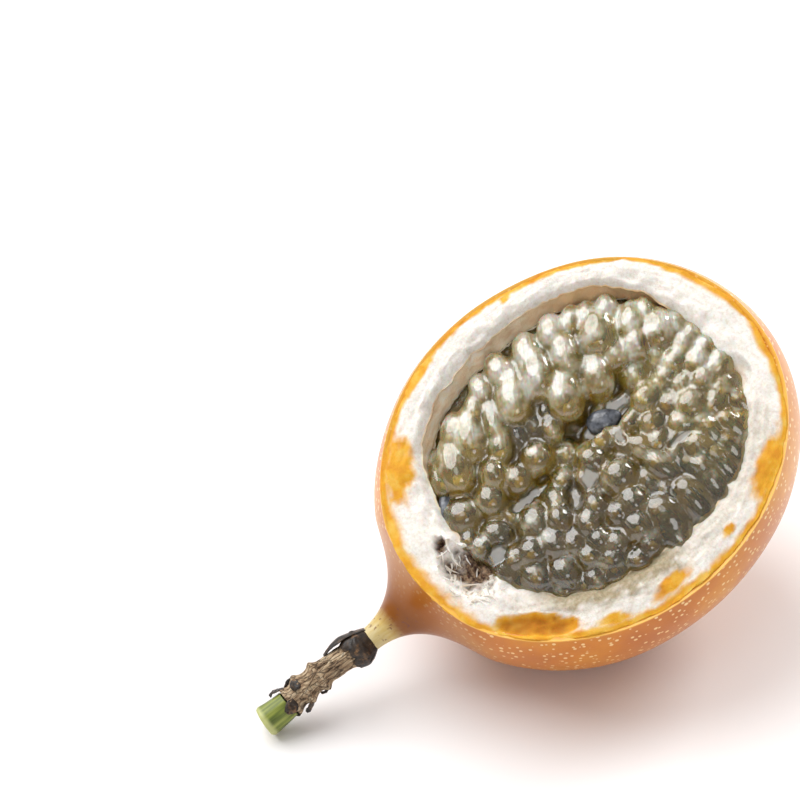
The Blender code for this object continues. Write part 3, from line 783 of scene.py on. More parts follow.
def skin_finish():
    """Glossy orange skin with cream dots, browner and speckled on the neck, and darkest at the
    neck's root: partly its own deep orange-brown, partly painted shade.
    """
    made, tree, shader = finish_named(
        "orange_skin", 0.34, IOR=1.4, Coat_Weight=0.15, Coat_Roughness=0.15
    )
    spot = place_in_fruit(tree)
    parts = add(tree, "SeparateXYZ", {"Vector": spot}, "X")
    height = add(tree, "SeparateXYZ", {"Vector": spot}, "Z")
    broad = noise_at(tree, spot, 0.055, 2.0)
    body = ramp(
        tree,
        broad,
        (0.32, (0.50, 0.13, 0.002)),
        (0.5, (0.62, 0.19, 0.003)),
        (0.66, (0.72, 0.28, 0.006)),
    )
    mottle = noise_at(tree, spot, 0.5, 4.0)
    body = blend(tree, gray(tree, mottle, 0.35, 0.75, 0.0, 0.35), body, (0.48, 0.13, 0.002))
    warped = blend(tree, 0.06, spot, noise_colour(tree, spot, 1.1), "ADD")
    facts = {"Vector": warped, "Scale": 0.85, "Randomness": 0.9}
    cell = add(tree, "TexVoronoi", facts).node
    luck = add(tree, "SeparateXYZ", {"Vector": cell.outputs["Color"]}, "X")
    size = gray(tree, luck, 0.0, 1.0, 0.18, 0.34)
    rise = calc(tree, "SUBTRACT", size, cell.outputs["Distance"])
    dot = gray(tree, rise, -0.02, 0.06)
    on_body = gray(tree, parts, -40.0, -30.0)
    dot = calc(tree, "MULTIPLY", dot, on_body)
    body = blend(tree, gray(tree, dot, 0, 1, 0, 0.85), body, (0.93, 0.68, 0.32))
    streak = noise_at(tree, stretched(tree, spot, (0.25, 1.6, 1.6)), 1.0, 3.0)
    # The neck's root is darker: partly its own deep orange-brown, partly painted shade as if from a
    # fruit beside it.
    neck = ramp(
        tree,
        gray(tree, parts, -47.0, -36.0),
        (0.0, (0.62, 0.50, 0.22)),
        (0.32, (0.60, 0.42, 0.12)),
        (0.5, (0.24, 0.07, 0.001)),
        (1.0, (0.21, 0.048, 0.0)),
    )
    at_root = gray(tree, parts, -41.0, -45.0)
    pale_streak = calc(tree, "MULTIPLY", gray(tree, streak, 0.35, 0.7), at_root)
    neck = blend(tree, gray(tree, pale_streak, 0, 1, 0, 0.55), neck, (0.74, 0.66, 0.42))
    speck = noise_at(tree, spot, 1.3, 2.0)
    near_neck = gray(tree, parts, -34.0, -40.0)
    speck = calc(tree, "MULTIPLY", gray(tree, speck, 0.62, 0.68), near_neck)
    neck = blend(tree, gray(tree, speck, 0, 1, 0, 0.7), neck, (0.16, 0.045, 0.03))
    body = blend(tree, gray(tree, parts, -31.0, -39.5), body, neck)
    rim = gray(tree, height, CUT_HEIGHT / MM - 0.35, CUT_HEIGHT / MM - 0.05)
    body = blend(tree, rim, body, (0.86, 0.47, 0.07))
    colour(tree, shader, body)
    fine = noise_at(tree, spot, 2.2, 2.0)
    relief = calc(tree, "ADD", calc(tree, "MULTIPLY", dot, 0.6), calc(tree, "MULTIPLY", fine, 0.35))
    bump(tree, shader, relief, 0.35, 0.12 * MM)
    return made


def noise_colour(tree, spot, scale):
    facts = {"Vector": spot, "Scale": scale, "Detail": 1.0}
    return add(tree, "TexNoise", facts, "Color")


def pith_finish():
    """White fibrous pith, with orange flesh, juice-soaked and torn places by its marks. The lining
    is coloured lighter than its shaded self, as painted light, with painted orange light towards
    +X; the torn places and the recess get painted shade that deepens with depth.
    """
    made, tree, shader = finish_named(
        "white_pith", 0.72, Subsurface_Weight=0.25, Subsurface_Scale=0.8 * MM
    )
    spot = place_in_fruit(tree)
    flesh, soaked, lining, torn = painted(tree)
    fibre = noise_at(tree, spot, 1.6, 5.0, 0.65)
    white = ramp(
        tree,
        fibre,
        (0.3, (0.76, 0.69, 0.60)),
        (0.5, (0.90, 0.85, 0.78)),
        (0.7, (0.96, 0.94, 0.90)),
    )
    gold = ramp(
        tree,
        noise_at(tree, spot, 0.4, 3.0),
        (0.3, (0.70, 0.28, 0.004)),
        (0.5, (0.80, 0.39, 0.012)),
        (0.7, (0.84, 0.52, 0.08)),
    )
    beige = ramp(tree, fibre, (0.3, (0.28, 0.21, 0.10)), (0.7, (0.49, 0.41, 0.27)))
    wall_noise = noise_at(tree, stretched(tree, spot, (0.7, 0.7, 2.2)), 0.5, 4.0, 0.6)
    # Painted light: the lining is coloured light tan to cream, lighter than it is, in place of
    # light it would get, and a painted orange glow, like light through the rind, grows towards +X.
    wall = ramp(
        tree,
        wall_noise,
        (0.3, (0.76, 0.52, 0.32)),
        (0.5, (0.90, 0.72, 0.50)),
        (0.68, (0.95, 0.86, 0.72)),
    )
    far_end = gray(tree, add(tree, "SeparateXYZ", {"Vector": spot}, "X"), 4.0, 15.0, 0.0, 0.8)
    wall = blend(tree, far_end, wall, (0.94, 0.60, 0.30))
    # The torn places go near black at their deepest: partly the brown of torn pith, partly painted
    # shade in the hollow.
    dark = ramp(tree, fibre, (0.42, (0.045, 0.012, 0.005)), (0.66, (0.38, 0.25, 0.14)))
    # Soaked gold is deeper orange; in the recess it stands for painted shade.
    gold = blend(tree, soaked, gold, (0.54, 0.19, 0.0))
    body = blend(tree, soaked, white, beige)
    body = blend(tree, flesh, body, gold)
    body = blend(tree, lining, body, wall)
    body = blend(tree, torn, body, dark)
    colour(tree, shader, body)
    thread = noise_at(tree, stretched(tree, spot, (1.0, 1.0, 0.4)), 3.4, 4.0, 0.6)
    bump(tree, shader, thread, 0.5, 0.25 * MM)
    return made


def along_sacs(tree, spot, turn):
    """Places drawn out along a direction on the cut face, for fine wrinkles."""
    facts = {
        "Vector": spot,
        "Rotation": (0, 0, math.radians(turn - 90)),
        "Scale": (0.7, 6.0, 3.0),
    }
    return add(tree, "Mapping", facts, vector_type="TEXTURE")


def gel_finish():
    """Clear olive gel, wet, with milk-white veils and fine creases along the sacs; painted shade
    darkens its creases and a painted sheen makes the tops that face the light paler.
    """
    made, tree, shader = finish_named(
        "seed_gel",
        0.12,
        IOR=1.36,
        Coat_Weight=1.0,
        Coat_Roughness=0.04,
        Coat_IOR=1.9,
        Subsurface_Weight=1.0,
        Subsurface_Scale=1.0 * MM,
    )
    spot = place_in_fruit(tree)
    painted_crease_shade, pool, side, painted_sheen = painted(tree)
    cloud = noise_at(tree, spot, 0.22, 2.0, 0.5)
    veil = noise_at(tree, spot, 0.35, 2.0, 0.5)
    body = ramp(
        tree,
        cloud,
        (0.32, (0.56, 0.38, 0.03)),
        (0.5, (0.76, 0.58, 0.10)),
        (0.66, (0.88, 0.74, 0.26)),
    )
    body = blend(tree, gray(tree, side, 0.5, 0.0, 0, 0.75), body, (0.20, 0.14, 0.025))
    haze_with_sheen = calc(tree, "ADD", veil, gray(tree, side, 0.5, 1.0, 0, 0.12))
    # Painted sheen: the tops that face the light are made paler and cloudier, together with the
    # real veils.
    haze_with_sheen = calc(tree, "ADD", haze_with_sheen, gray(tree, painted_sheen, 0, 1, 0, 0.2))
    milky_veil_and_sheen = gray(tree, haze_with_sheen, 0.56, 0.86)
    body = blend(tree, gray(tree, milky_veil_and_sheen, 0, 1, 0, 0.85), body, (0.80, 0.79, 0.75))
    # Painted shade: the creases between the sacs are darkened towards dark olive.
    body = blend(tree, gray(tree, painted_crease_shade, 0, 1, 0, 0.9), body, (0.13, 0.09, 0.01))
    body = blend(tree, gray(tree, pool, 0, 1, 0, 0.8), body, (0.17, 0.165, 0.17))
    colour(tree, shader, body)
    clear = gray(tree, calc(tree, "MAXIMUM", milky_veil_and_sheen, pool), 0, 1, 0.88, 0.4)
    tree.links.new(clear, shader.inputs["Transmission Weight"])
    ripple = noise_at(tree, spot, 0.5, 1.5, 0.5)
    upper = noise_at(tree, along_sacs(tree, spot, 60), 1.2, 1.0)
    lower = noise_at(tree, along_sacs(tree, spot, 95), 1.2, 1.0)
    wrinkle = blend(tree, gray(tree, side, 0.35, 0.5), lower, upper)
    relief = calc(tree, "ADD", ripple, calc(tree, "MULTIPLY", wrinkle, 0.45))
    relief = calc(tree, "MULTIPLY", relief, gray(tree, pool, 0, 1, 1, 0.05))
    bump(tree, shader, relief, 0.9, 1.1 * MM)
    return made


def core_finish():
    """The deep pulp under the sacs, dark olive with amber places."""
    stops = (0.32, (0.26, 0.18, 0.03)), (0.52, (0.58, 0.43, 0.09)), (0.7, (0.84, 0.68, 0.20))
    return clouded_finish("deep_pulp", 0.3, (0.4, 4.0, 0.6), stops)


def seed_finish():
    """Slate-black seeds with fine pits."""
    made, tree, shader = finish_named("dark_seed", 0.22, Coat_Weight=0.8, Coat_Roughness=0.1)
    spot = place_in_fruit(tree)
    cloud = noise_at(tree, spot, 0.8, 3.0)
    body = ramp(tree, cloud, (0.35, (0.035, 0.04, 0.05)), (0.7, (0.17, 0.185, 0.22)))
    colour(tree, shader, body)
    along = add(
        tree,
        "Mapping",
        {"Vector": spot, "Rotation": (0, 0, math.radians(-18)), "Scale": (2.6, 0.8, 1.0)},
        vector_type="TEXTURE",
    )
    ridges = noise_at(tree, along, 1.5, 2.0)
    pits = add(tree, "TexVoronoi", {"Vector": spot, "Scale": 2.0}, "Distance")
    ridged = calc(tree, "MULTIPLY", ridges, 1.2)
    relief = calc(tree, "ADD", ridged, calc(tree, "MULTIPLY", pits, 0.3))
    bump(tree, shader, relief, 0.6, 0.25 * MM)
    return made


def tip_finish():
    """The yellow point in each sac's blunt end."""
    stops = (0.35, (0.62, 0.42, 0.06)), (0.65, (0.86, 0.72, 0.25))
    return clouded_finish("yellow_tip", 0.4, (0.6, 2.0), stops)


def membrane_finish():
    """Thin silvery skin round the pulp."""
    stops = (0.3, (0.66, 0.52, 0.30)), (0.65, (0.92, 0.86, 0.70))
    relief = (1.4, 3.0, 0.5, 0.3 * MM)
    clear = {"Transmission_Weight": 0.5, "IOR": 1.33, "Coat_Weight": 0.4}
    return clouded_finish("pulp_skin", 0.28, (0.5, 4.0), stops, relief, **clear)


def fibre_finish():
    stops = (0.35, (0.62, 0.52, 0.40)), (0.6, (0.92, 0.90, 0.86))
    return clouded_finish("torn_fibre", 0.6, (0.35, 2.0), stops)


def wood_finish():
    """Dry cracked bark of the stalk."""
    made, tree, shader = finish_named("dry_wood", 0.82)
    spot = place_in_fruit(tree)
    along = stretched(tree, spot, (0.35, 1.5, 1.5))
    cloud = noise_at(tree, along, 0.9, 5.0, 0.65)
    body = ramp(
        tree,
        cloud,
        (0.34, (0.07, 0.042, 0.022)),
        (0.46, (0.32, 0.21, 0.12)),
        (0.58, (0.54, 0.41, 0.26)),
        (0.7, (0.70, 0.60, 0.45)),
    )
    facts = {"Vector": along, "Scale": 0.9}
    cracks = add(tree, "TexVoronoi", facts, "Distance", feature="DISTANCE_TO_EDGE")
    body = blend(tree, gray(tree, cracks, 0.0, 0.07, 0.85, 0.0), body, (0.03, 0.02, 0.013))
    colour(tree, shader, body)
    relief = calc(tree, "ADD", gray(tree, cracks, 0.0, 0.1), cloud)
    bump(tree, shader, relief, 0.7, 0.25 * MM)
    return made


def calyx_finish():
    """Black-brown dried leaves at the neck."""
    stops = (0.4, (0.008, 0.006, 0.005)), (0.56, (0.035, 0.02, 0.01)), (0.7, (0.24, 0.12, 0.045))
    relief = (1.8, 4.0, 0.6, 0.25 * MM)
    return clouded_finish("dry_leaf", 0.45, (0.7, 5.0, 0.65), stops, relief)


def green_finish():
    """Fresh green stem, paler at its rim, with a dry tan cut."""
    made, tree, shader = finish_named("green_stem", 0.42, Coat_Weight=0.08)
    spot = place_in_fruit(tree)
    along = stretched(tree, spot, (0.12, 1.6, 1.6))
    streak = noise_at(tree, along, 0.8, 3.0)
    body = ramp(
        tree,
        streak,
        (0.35, (0.07, 0.10, 0.008)),
        (0.5, (0.16, 0.20, 0.02)),
        (0.7, (0.32, 0.36, 0.06)),
    )
    pale, cut, heart, _ = painted(tree)
    body = blend(tree, pale, body, (0.50, 0.52, 0.20))
    body = blend(tree, cut, body, (0.60, 0.52, 0.33))
    body = blend(tree, heart, body, (0.22, 0.13, 0.07))
    colour(tree, shader, body)
    bump(tree, shader, streak, 0.3, 0.2 * MM)
    return made


# The shell


def make_skin():
    """The orange skin with its neck, a wall of even thickness, open at the cut."""
    turn_at_neck = math.acos(-NECK_FROM / FRUIT_HALF_LENGTH)
    profile = []
    for i in range(BODY_RINGS):
        x = FRUIT_HALF_LENGTH * math.cos(turn_at_neck * i / BODY_RINGS)
        profile.append((x, ovoid_radius(x)))
    profile += NECK + [(-NECK_END, NECK_RADIUS / 2), (-NECK_END, 0.0)]
    skin = spun("skin", profile, SPIN_STEPS)
    shape(skin, uneven)
    cut_at(skin, (0, 0, CUT_HEIGHT), (0, 0, 1), False)
    to_fruit = FRUIT.inverted()
    table = to_fruit @ Vector((0, 0, 0))
    down = to_fruit.to_3x3() @ Vector((0, 0, -1))
    cut_at(skin, table, down, True)
    modify(skin, "SOLIDIFY", thickness=SKIN_THICKNESS, offset=-1.0, use_even_offset=True)

    def on_table(co):
        place = FRUIT @ co
        return to_fruit @ Vector((place.x, place.y, max(0.0, place.z)))

    shape(skin, on_table)
    smooth(skin)
    return settle(skin, skin_finish(), "shell")


def rim_lap(turn):
    """How far the pith's ragged edge comes out over the skin's rim."""
    way = Vector((math.cos(turn), math.sin(turn), 0))
    return MM * (0.42 + 0.34 * noise.noise(way * 7) + 0.2 * noise.noise(way * 23))


def off_slope(turn):
    """How far round a place lies from the middle of the lining's slope."""
    return (turn - SLOPE_MIDDLE + math.pi) % (2 * math.pi) - math.pi


def pith_section(turn):
    """The pith's outline across, at that turn: points out and up, with the share of the way
    over the cut face, which is past 1 on the wall."""
    outer = reach(turn, CUT_HEIGHT - MM / 10, in_skin) + rim_lap(turn)
    opening = reach(turn, CUT_HEIGHT, in_hollow)
    off = off_slope(turn)
    slope = SLOPE_IN * max(0.0, math.cos(off / SLOPE_SPAN * math.pi / 2)) ** 0.6
    if abs(off) > SLOPE_SPAN:
        slope = 0.0
    rows = []
    for i in range(OUTER_ROWS):
        height = CUT_HEIGHT * (i / OUTER_ROWS) ** 0.7
        rows.append((reach(turn, height, in_skin) + PITH_LAP, height, 0.0))
    for i in range(FACE_ROWS):
        share = i / (FACE_ROWS - 1)
        rows.append((outer + (opening - outer) * share, CUT_HEIGHT, share))
    for i in range(WALL_ROWS):
        share = (i + 1) / WALL_ROWS
        height = CUT_HEIGHT * (1 - share**1.3)
        inward = slope * step_between(0, SLOPE_DEPTH, CUT_HEIGHT - height)
        rows.append((reach(turn, height, in_hollow) - inward, height, 1 + share))
    for i in range(LOWER_ROWS):
        dip = STEEPEST * (i + 1) / LOWER_ROWS
        out = reach(turn, 0, in_hollow, dip) - slope * (1 - (i + 1) / LOWER_ROWS)
        rows.append((out * math.cos(dip), -out * math.sin(dip), 2.0))
    for i in range(BACK_ROWS):
        dip = STEEPEST * (1 - i / BACK_ROWS)
        out = reach(turn, 0, in_skin, dip) + PITH_LAP
        rows.append((out * math.cos(dip), -out * math.sin(dip), 2.0))
    return rows


def torn_amount(point):
    """How torn the pith is there: 1 in the pit by the neck, 0 away from it."""
    (x, y), half, turn = TORN_PIT
    wider = ((x + 0.6 * MM, y), (half[0] * 1.5, half[1] * 1.55), turn)
    return 1 - step_between(0.6, 1.15, patch_distance(point, wider))


def pith_relief(point, share):
    """How far the cut face stands above or below the cut there."""
    flat = Vector((point.x, point.y, 0))
    inner = step_between(0.25, 0.7, share)
    rise = 0.45 * MM * grain(flat, 5 * MM, 2.0)
    rise += inner * 0.55 * MM * (0.4 - 2 * abs(grain(flat, 2.8 * MM, 5.0)))
    rise += (0.3 + 0.7 * inner) * 0.34 * MM * grain(flat, 1.3 * MM, 7.0)
    rise += 0.15 * MM * grain(flat, 0.6 * MM, 9.0)
    torn = torn_amount(point)
    rise += torn * 0.75 * MM * grain(flat, 1.5 * MM, 13.0)
    rise += torn * 0.4 * MM * grain(flat, 0.6 * MM, 15.0)
    rise -= 1.2 * MM * step_between(0.7, 1.0, share) ** 2
    rise += 0.3 * MM * step_between(0.0, 0.35, share) * (1 - step_between(0.6, 0.9, share))
    for pit in (RECESS, TORN_PIT, SMALL_PIT, DARK_HOLE):
        rise -= pit_depth(point, pit) * (0.85 + 0.3 * grain(flat, 1.2 * MM, 21.0))
    return rise


def pith_point(turn, row):
    """Where one point of the pith's section lies."""
    out, height, share = row
    wave = Vector((math.cos(turn), math.sin(turn), 0)) * 8
    edge = step_between(0.6, 1.0, share)
    if edge and share < 2:
        down = Vector((0, 0, height / MM * 0.4))
        ragged = 0.45 * noise.noise(wave * 1.3 + down) + 0.3 * noise.noise(wave * 4 + down)
        out += edge * ragged * MM
    x = HOLLOW_CENTRE.x + out * math.cos(turn)
    y = HOLLOW_CENTRE.y + out * math.sin(turn)
    point = Vector((x, y, height))
    if share <= 1 and height >= CUT_HEIGHT:
        point.z += pith_relief(point, share)
    elif 1 < share < 2:
        fade = 1 - (share - 1)
        point.z += pith_relief(point, 1.0) * fade**2
        lumps = 0.25 * MM * fade * grain(point, 1.4 * MM, 31.0)
        point -= Vector((math.cos(turn), math.sin(turn), 0)) * lumps
    return point


def pith_marks(point, share):
    """Amounts of orange flesh, soaked pith, brown lining and torn hollow there; the soaked amount
    in the recess and the torn amount are partly painted shade, growing with depth.
    """
    flat = Vector((point.x, point.y, 0))
    ragged = 0.32 * grain(flat, 1.6 * MM, 41.0) + 0.14 * grain(flat, 0.6 * MM, 43.0)
    flesh = 0.0
    for patch in FLESH_PATCHES:
        flesh = max(flesh, 1 - step_between(0.66, 1.14, patch_distance(point, patch) + ragged))
    flesh = max(flesh, 1 - step_between(0.95, 1.15, patch_distance(point, RECESS) + 0.6 * ragged))
    band = 0.17 + 0.12 * grain(flat, 7 * MM, 45.0) + 0.25 * ragged
    band = max(0.06, band + 0.06 * step_between(14 * MM, 24 * MM, -point.x))
    flesh = max(flesh, 1 - step_between(0.4 * band, 1.15 * band, share))
    low_side = 1 - step_between(-15 * MM, -10 * MM, point.y)
    middle = 1 - step_between(8 * MM, 15 * MM, abs(point.x + 10 * MM))
    soaked = 0.95 * low_side * middle * step_between(0.35, 0.75, share + ragged)
    soaked = max(soaked, 0.3 * low_side * step_between(0.2, 0.6, share + ragged))
    soaked = max(soaked, 0.35 * step_between(0.93, 1.02, share + 0.2 * ragged))
    deep = CUT_HEIGHT - point.z
    lining = step_between(0.35 * MM, 1.1 * MM, deep + ragged * MM) * (1.0 if share >= 0.97 else 0.0)
    # Partly painted shade: the torn colour sets in and darkens with depth in the pit by the neck,
    # and covers the whole dark hole.
    torn = torn_amount(point) * step_between(0.6 * MM, 2.4 * MM, deep + ragged * 1.6 * MM)
    torn = max(torn, 1 - step_between(0.7, 1.2, patch_distance(point, DARK_HOLE) + ragged))
    # Painted shade: in the recess the gold deepens with depth below the cut.
    if patch_distance(point, RECESS) < 1.2:
        soaked = step_between(0.3 * MM, 1.3 * MM, deep)
    if patch_distance(point, SMALL_PIT) < 1.0:
        lining = max(lining, 0.5 * step_between(0.8 * MM, 2.2 * MM, deep))
    return flesh, soaked, lining, torn


def make_pith():
    """The white ring of the cut face with the hollow's wall below it, as one closed form."""
    bpy.ops.object.select_all(action="DESELECT")
    bpy.ops.mesh.primitive_torus_add(
        major_segments=PITH_AROUND, minor_segments=PITH_ROWS, major_radius=1, minor_radius=0.3
    )
    pith = added("pith")
    sections = []
    for i in range(PITH_AROUND):
        sections.append(pith_section(2 * math.pi * i / PITH_AROUND))
    shares = []

    def to_section(co):
        turn = math.atan2(co.y, co.x)
        lean = math.atan2(co.z, math.hypot(co.x, co.y) - 1)
        i = round(turn / (2 * math.pi) * PITH_AROUND) % PITH_AROUND
        j = round(lean / (2 * math.pi) * PITH_ROWS) % PITH_ROWS
        shares.append(sections[i][j][2])
        return pith_point(2 * math.pi * i / PITH_AROUND, sections[i][j])

    shape(pith, to_section)
    amounts = iter(shares)
    paint_points(pith, "marks", lambda co: pith_marks(co, next(amounts)))
    smooth(pith, 80)
    return settle(pith, pith_finish())


def face_share(point):
    """The share of the way over the cut face, from the skin to the hollow, at a place."""
    across = point - HOLLOW_CENTRE
    turn = math.atan2(across.y, across.x)
    outer = reach(turn, CUT_HEIGHT - MM / 10, in_skin)
    opening = reach(turn, CUT_HEIGHT, in_hollow)
    return (outer - math.hypot(across.x, across.y)) / (outer - opening)


def make_fibres():
    """Torn white threads that hang into the pit by the neck."""
    bpy.ops.object.select_all(action="DESELECT")
    bpy.ops.mesh.primitive_cone_add(vertices=5, radius1=1, radius2=0.25, depth=1)
    thread = added("thread")
    edit(thread)
    bpy.ops.mesh.subdivide(number_cuts=6)
    leave()
    draw = random.Random(SEED)
    (x, y), half, _ = TORN_PIT
    threads = []
    for _ in range(THREAD_COUNT):
        around = draw.uniform(0, 2 * math.pi)
        out = draw.uniform(*THREAD_OUT)
        root_x = x + half[0] * out * math.cos(around)
        root_y = y + half[1] * out * math.sin(around)
        root = Vector((root_x, root_y, 0))
        sunk = draw.uniform(*THREAD_SUNK) * MM
        root.z = CUT_HEIGHT + pith_relief(root, face_share(root)) - sunk
        length = draw.uniform(*THREAD_LENGTH) * MM
        width = draw.uniform(*THREAD_WIDTH) * MM
        swing = draw.uniform(-0.8, 0.8)
        aside = Vector((draw.uniform(-1, 1), draw.uniform(-1, 1), draw.uniform(-0.1, 0.25)))
        way = (THREAD_WAY + aside).normalized()
        if max(face_share(root), face_share(root + way * length)) > THREAD_LIMIT:
            continue
        side = way.orthogonal().normalized()
        other = way.cross(side)
        threads.append(copied(thread))
        for vert in threads[-1].data.vertices:
            past = vert.co.z + 0.5
            bend = side * math.sin(past * 3.0) * 0.3 + other * past * past * 0.25
            flat = (side * vert.co.x + other * vert.co.y) * width * (1 - 0.5 * past)
            vert.co = root + way * length * past + bend * swing * length + flat
    bpy.data.objects.remove(thread)
    fibres = joined(threads, "torn_fibres")
    smooth(fibres)
    return settle(fibres, fibre_finish())


# The pulp


def bed_level(x, y):
    """Height of the juice between the sacs, which stands higher in the still pools."""
    ripple = 0.3 * MM * noise.noise(Vector((x, y, 0)) / (4 * MM))
    centre, half = pulp_space()
    across = math.hypot((x - centre.x) / half.x, (y - centre.y) / half.y)
    rise = RIM_RISE * (1 - open_side(x - centre.x, y - centre.y))
    depth = BED_DEPTH - rise * step_between(0.76, 0.92, across)
    level = heap_top(x, y) - depth + ripple
    for pool in POOLS:
        shore = step_between(0.9, 1.5, pool_distance(x, y, pool))
        level += (still_level(pool) - level) * (1 - shore)
    return level


def still_level(pool):
    """The height at which a still pool stands."""
    (x, y), _ = pool
    return heap_top(x * MM, y * MM) - POOL_DEPTH


def open_side(x, y):
    """1 towards the side where the lining shows beside the pulp, 0 well away from it."""
    return 1 - step_between(0.55, 1.0, abs(off_slope(math.atan2(y, x))) / SLOPE_SPAN)


def pulp_body(name, sides, rings, shrink, sunk):
    """The pulp's mass as a ball pressed down to the juice's level."""
    body = ball(name, sides, rings)
    centre, half = pulp_space()

    def press(co):
        full = 1 + squared(co.normalized())
        level = math.hypot(co.x, co.y)
        less = shrink + OPEN_SHRINK * level * open_side(co.x, co.y)
        point = Vector(c + w * (h - less) * full for c, w, h in zip(centre, co, half))
        point.z = min(point.z, bed_level(point.x, point.y) - sunk)
        return point

    shape(body, press)
    return body


def make_gel(sacs):
    """Clear gel: the seed sacs and the juice between them, run together."""
    sac = ball("sac", 20, 14)

    def drop(co):
        along = (1 - co.z) / 2
        round_out = math.sqrt(max(0.0, 1 - co.z**2))
        wide = round_out**0.85 * (1 - GEL_TAPER * along)
        if round_out < 1e-6:
            return Vector((0, 0, -along))
        return Vector((co.x / round_out * wide, co.y / round_out * wide, -along))

    shape(sac, drop)
    draw = random.Random(SEED + 3)
    places = []
    for tip, lying, length, radius in sacs:
        turn = lying.to_track_quat("Z", "Y").to_matrix().to_4x4()
        roll = Matrix.Rotation(draw.uniform(0, math.pi), 4, "Z")
        wide = radius * GEL_FULLNESS * draw.uniform(0.92, 1.08)
        size = Matrix.Diagonal((wide, wide * draw.uniform(0.82, 1.0), length, 1))
        places.append(Matrix.Translation(tip) @ turn @ roll @ size)
    heap = copies(sac, places, "gel")
    bed = pulp_body("bed", 120, 160, -RIM_GROWTH, 0.0)
    cut_at(bed, (0, 0, GEL_FLOOR), (0, 0, -1), True)
    gel = joined([heap, bed], "gel")
    modify(gel, "REMESH", mode="VOXEL", voxel_size=GEL_VOXEL, use_smooth_shade=True)
    modify(gel, "SMOOTH", factor=0.5, iterations=GEL_SMOOTHING)
    shape(gel, stilled)
    # Painted sheen: how far each point of the gel faces the light, for its paler tops.
    facing = iter([vert.normal.dot(SHEEN_PAINT_SIDE) for vert in gel.data.vertices])
    paint_points(gel, "marks", lambda co: gel_marks(co, next(facing)))
    return settle(gel, gel_finish(), "pulp")


def lying_sacs(sacs):
    """How the sacs lie in the gel: each one's tip, the way it points, its length and radius."""
    lying_so = []
    for end, way, length, radius in sacs:
        lying = Vector((way.x, way.y, way.z * GEL_LYING)).normalized()
        far_side = GEL_SPREAD if end.y < 0 else GEL_GATHER
        spread = Vector((end.x * GEL_SPREAD, end.y * far_side, end.z))
        lying_so.append((spread + lying * radius, lying, length * GEL_LENGTH, radius))
    return lying_so


def pool_distance(x, y, pool):
    """How far out in a still pool a place lies: 1 is its shore."""
    (px, py), (half_x, half_y) = pool
    ragged = 0.4 * noise.noise(Vector((x, y, 0)) / (1.4 * MM))
    return math.hypot((x / MM - px) / half_x, (y / MM - py) / half_y) + ragged


def nearest_pool(place):
    """How far out a place lies in the still pool that is nearest to it."""
    return min(pool_distance(place.x, place.y, pool) for pool in POOLS)


def stilled(co):
    """Lowers what stands over a still pool to its level."""
    for pool in POOLS:
        still = still_level(pool)
        if co.z > still:
            kept = step_between(0.85, 1.2, pool_distance(co.x, co.y, pool))
            co.z = still + (co.z - still) * kept
    return co


def gel_marks(co, facing):
    """Amounts of painted shade in the creases, still pool, side of the fruit and painted sheen on
    the tops that face the light there.
    """
    depth = heap_top(co.x, co.y) - co.z
    pool = max(1 - step_between(0.8, 1.15, pool_distance(co.x, co.y, p)) for p in POOLS)
    # Painted shade: the gel's colour darkens with depth below the heap's top, in the creases
    # between the sacs.
    painted_crease_shade = step_between(0.7 * MM, 2.9 * MM, depth) * (1 - 0.9 * pool)
    side = step_between(-13 * MM, 13 * MM, 0.4 * co.x + 0.85 * co.y)
    # Painted sheen on the tops of the sacs that face the light, most on the +Y side.
    painted_sheen = step_between(0.45, 0.95, facing) * (1 - step_between(0.8 * MM, 2.6 * MM, depth))
    return painted_crease_shade, pool, side, painted_sheen * (0.25 + 0.75 * side)


def make_seeds(sacs):
    """A flat dark seed in each sac, and the few that lie bare."""
    seed = ball("seed", 20, 14)
    shape(seed, lambda co: Vector((co.x * (1 - 0.25 * co.z), co.y * (1 - 0.2 * co.z), co.z)))
    draw = random.Random(SEED + 1)
    places = []
    for tip, lying, length, radius in sacs:
        turn = lying.to_track_quat("Z", "Y").to_matrix().to_4x4()
        roll = Matrix.Rotation(draw.uniform(0, math.pi), 4, "Z")
        size = Matrix.Diagonal((radius * 0.5, radius * 0.3, length * 0.22, 1))
        middle = tip - lying * length * 0.5 + Vector((0, 0, radius * 0.26))
        if nearest_pool(middle) > 1.5:
            places.append(Matrix.Translation(middle) @ turn @ roll @ size)
    for (x, y), rise, (long, wide, thick), turn in BARE_SEEDS:
        middle = Vector((x, y, bed_level(x * MM, y * MM) / MM + rise)) * MM
        lying = Matrix.Rotation(math.radians(turn), 4, "Z") @ Matrix.Rotation(math.pi / 2, 4, "Y")
        size = Matrix.Diagonal((thick * MM, wide * MM, long * MM, 1))
        places.append(Matrix.Translation(middle) @ lying @ size)
    seeds = copies(seed, places, "seeds")
    smooth(seeds, 120)
    return settle(seeds, seed_finish())


def make_tips(sacs):
    """The yellow point near each sac's free end."""
    point = ball("tip", 10, 6)
    draw = random.Random(SEED + 2)
    places = []
    for tip, lying, _, radius in sacs:
        if draw.random() > 0.8 or nearest_pool(tip) < 1.4:
            continue
        aside = Vector((draw.uniform(-1, 1), draw.uniform(-1, 1), 0)) * 0.3 * MM
        size = Matrix.Diagonal([draw.uniform(0.5, 0.85) * MM for _ in "xyz"] + [1])
        middle = tip - lying * radius * 0.85 + aside + Vector((0, 0, radius * 0.22))
        places.append(Matrix.Translation(middle) @ size)
    tips = copies(point, places, "seed_tips")
    smooth(tips)
    return settle(tips, tip_finish())


def make_core():
    core = pulp_body("pulp_core", 96, 96, CORE_SHRINK, CORE_SUNK)
    smooth(core)
    return settle(core, core_finish())


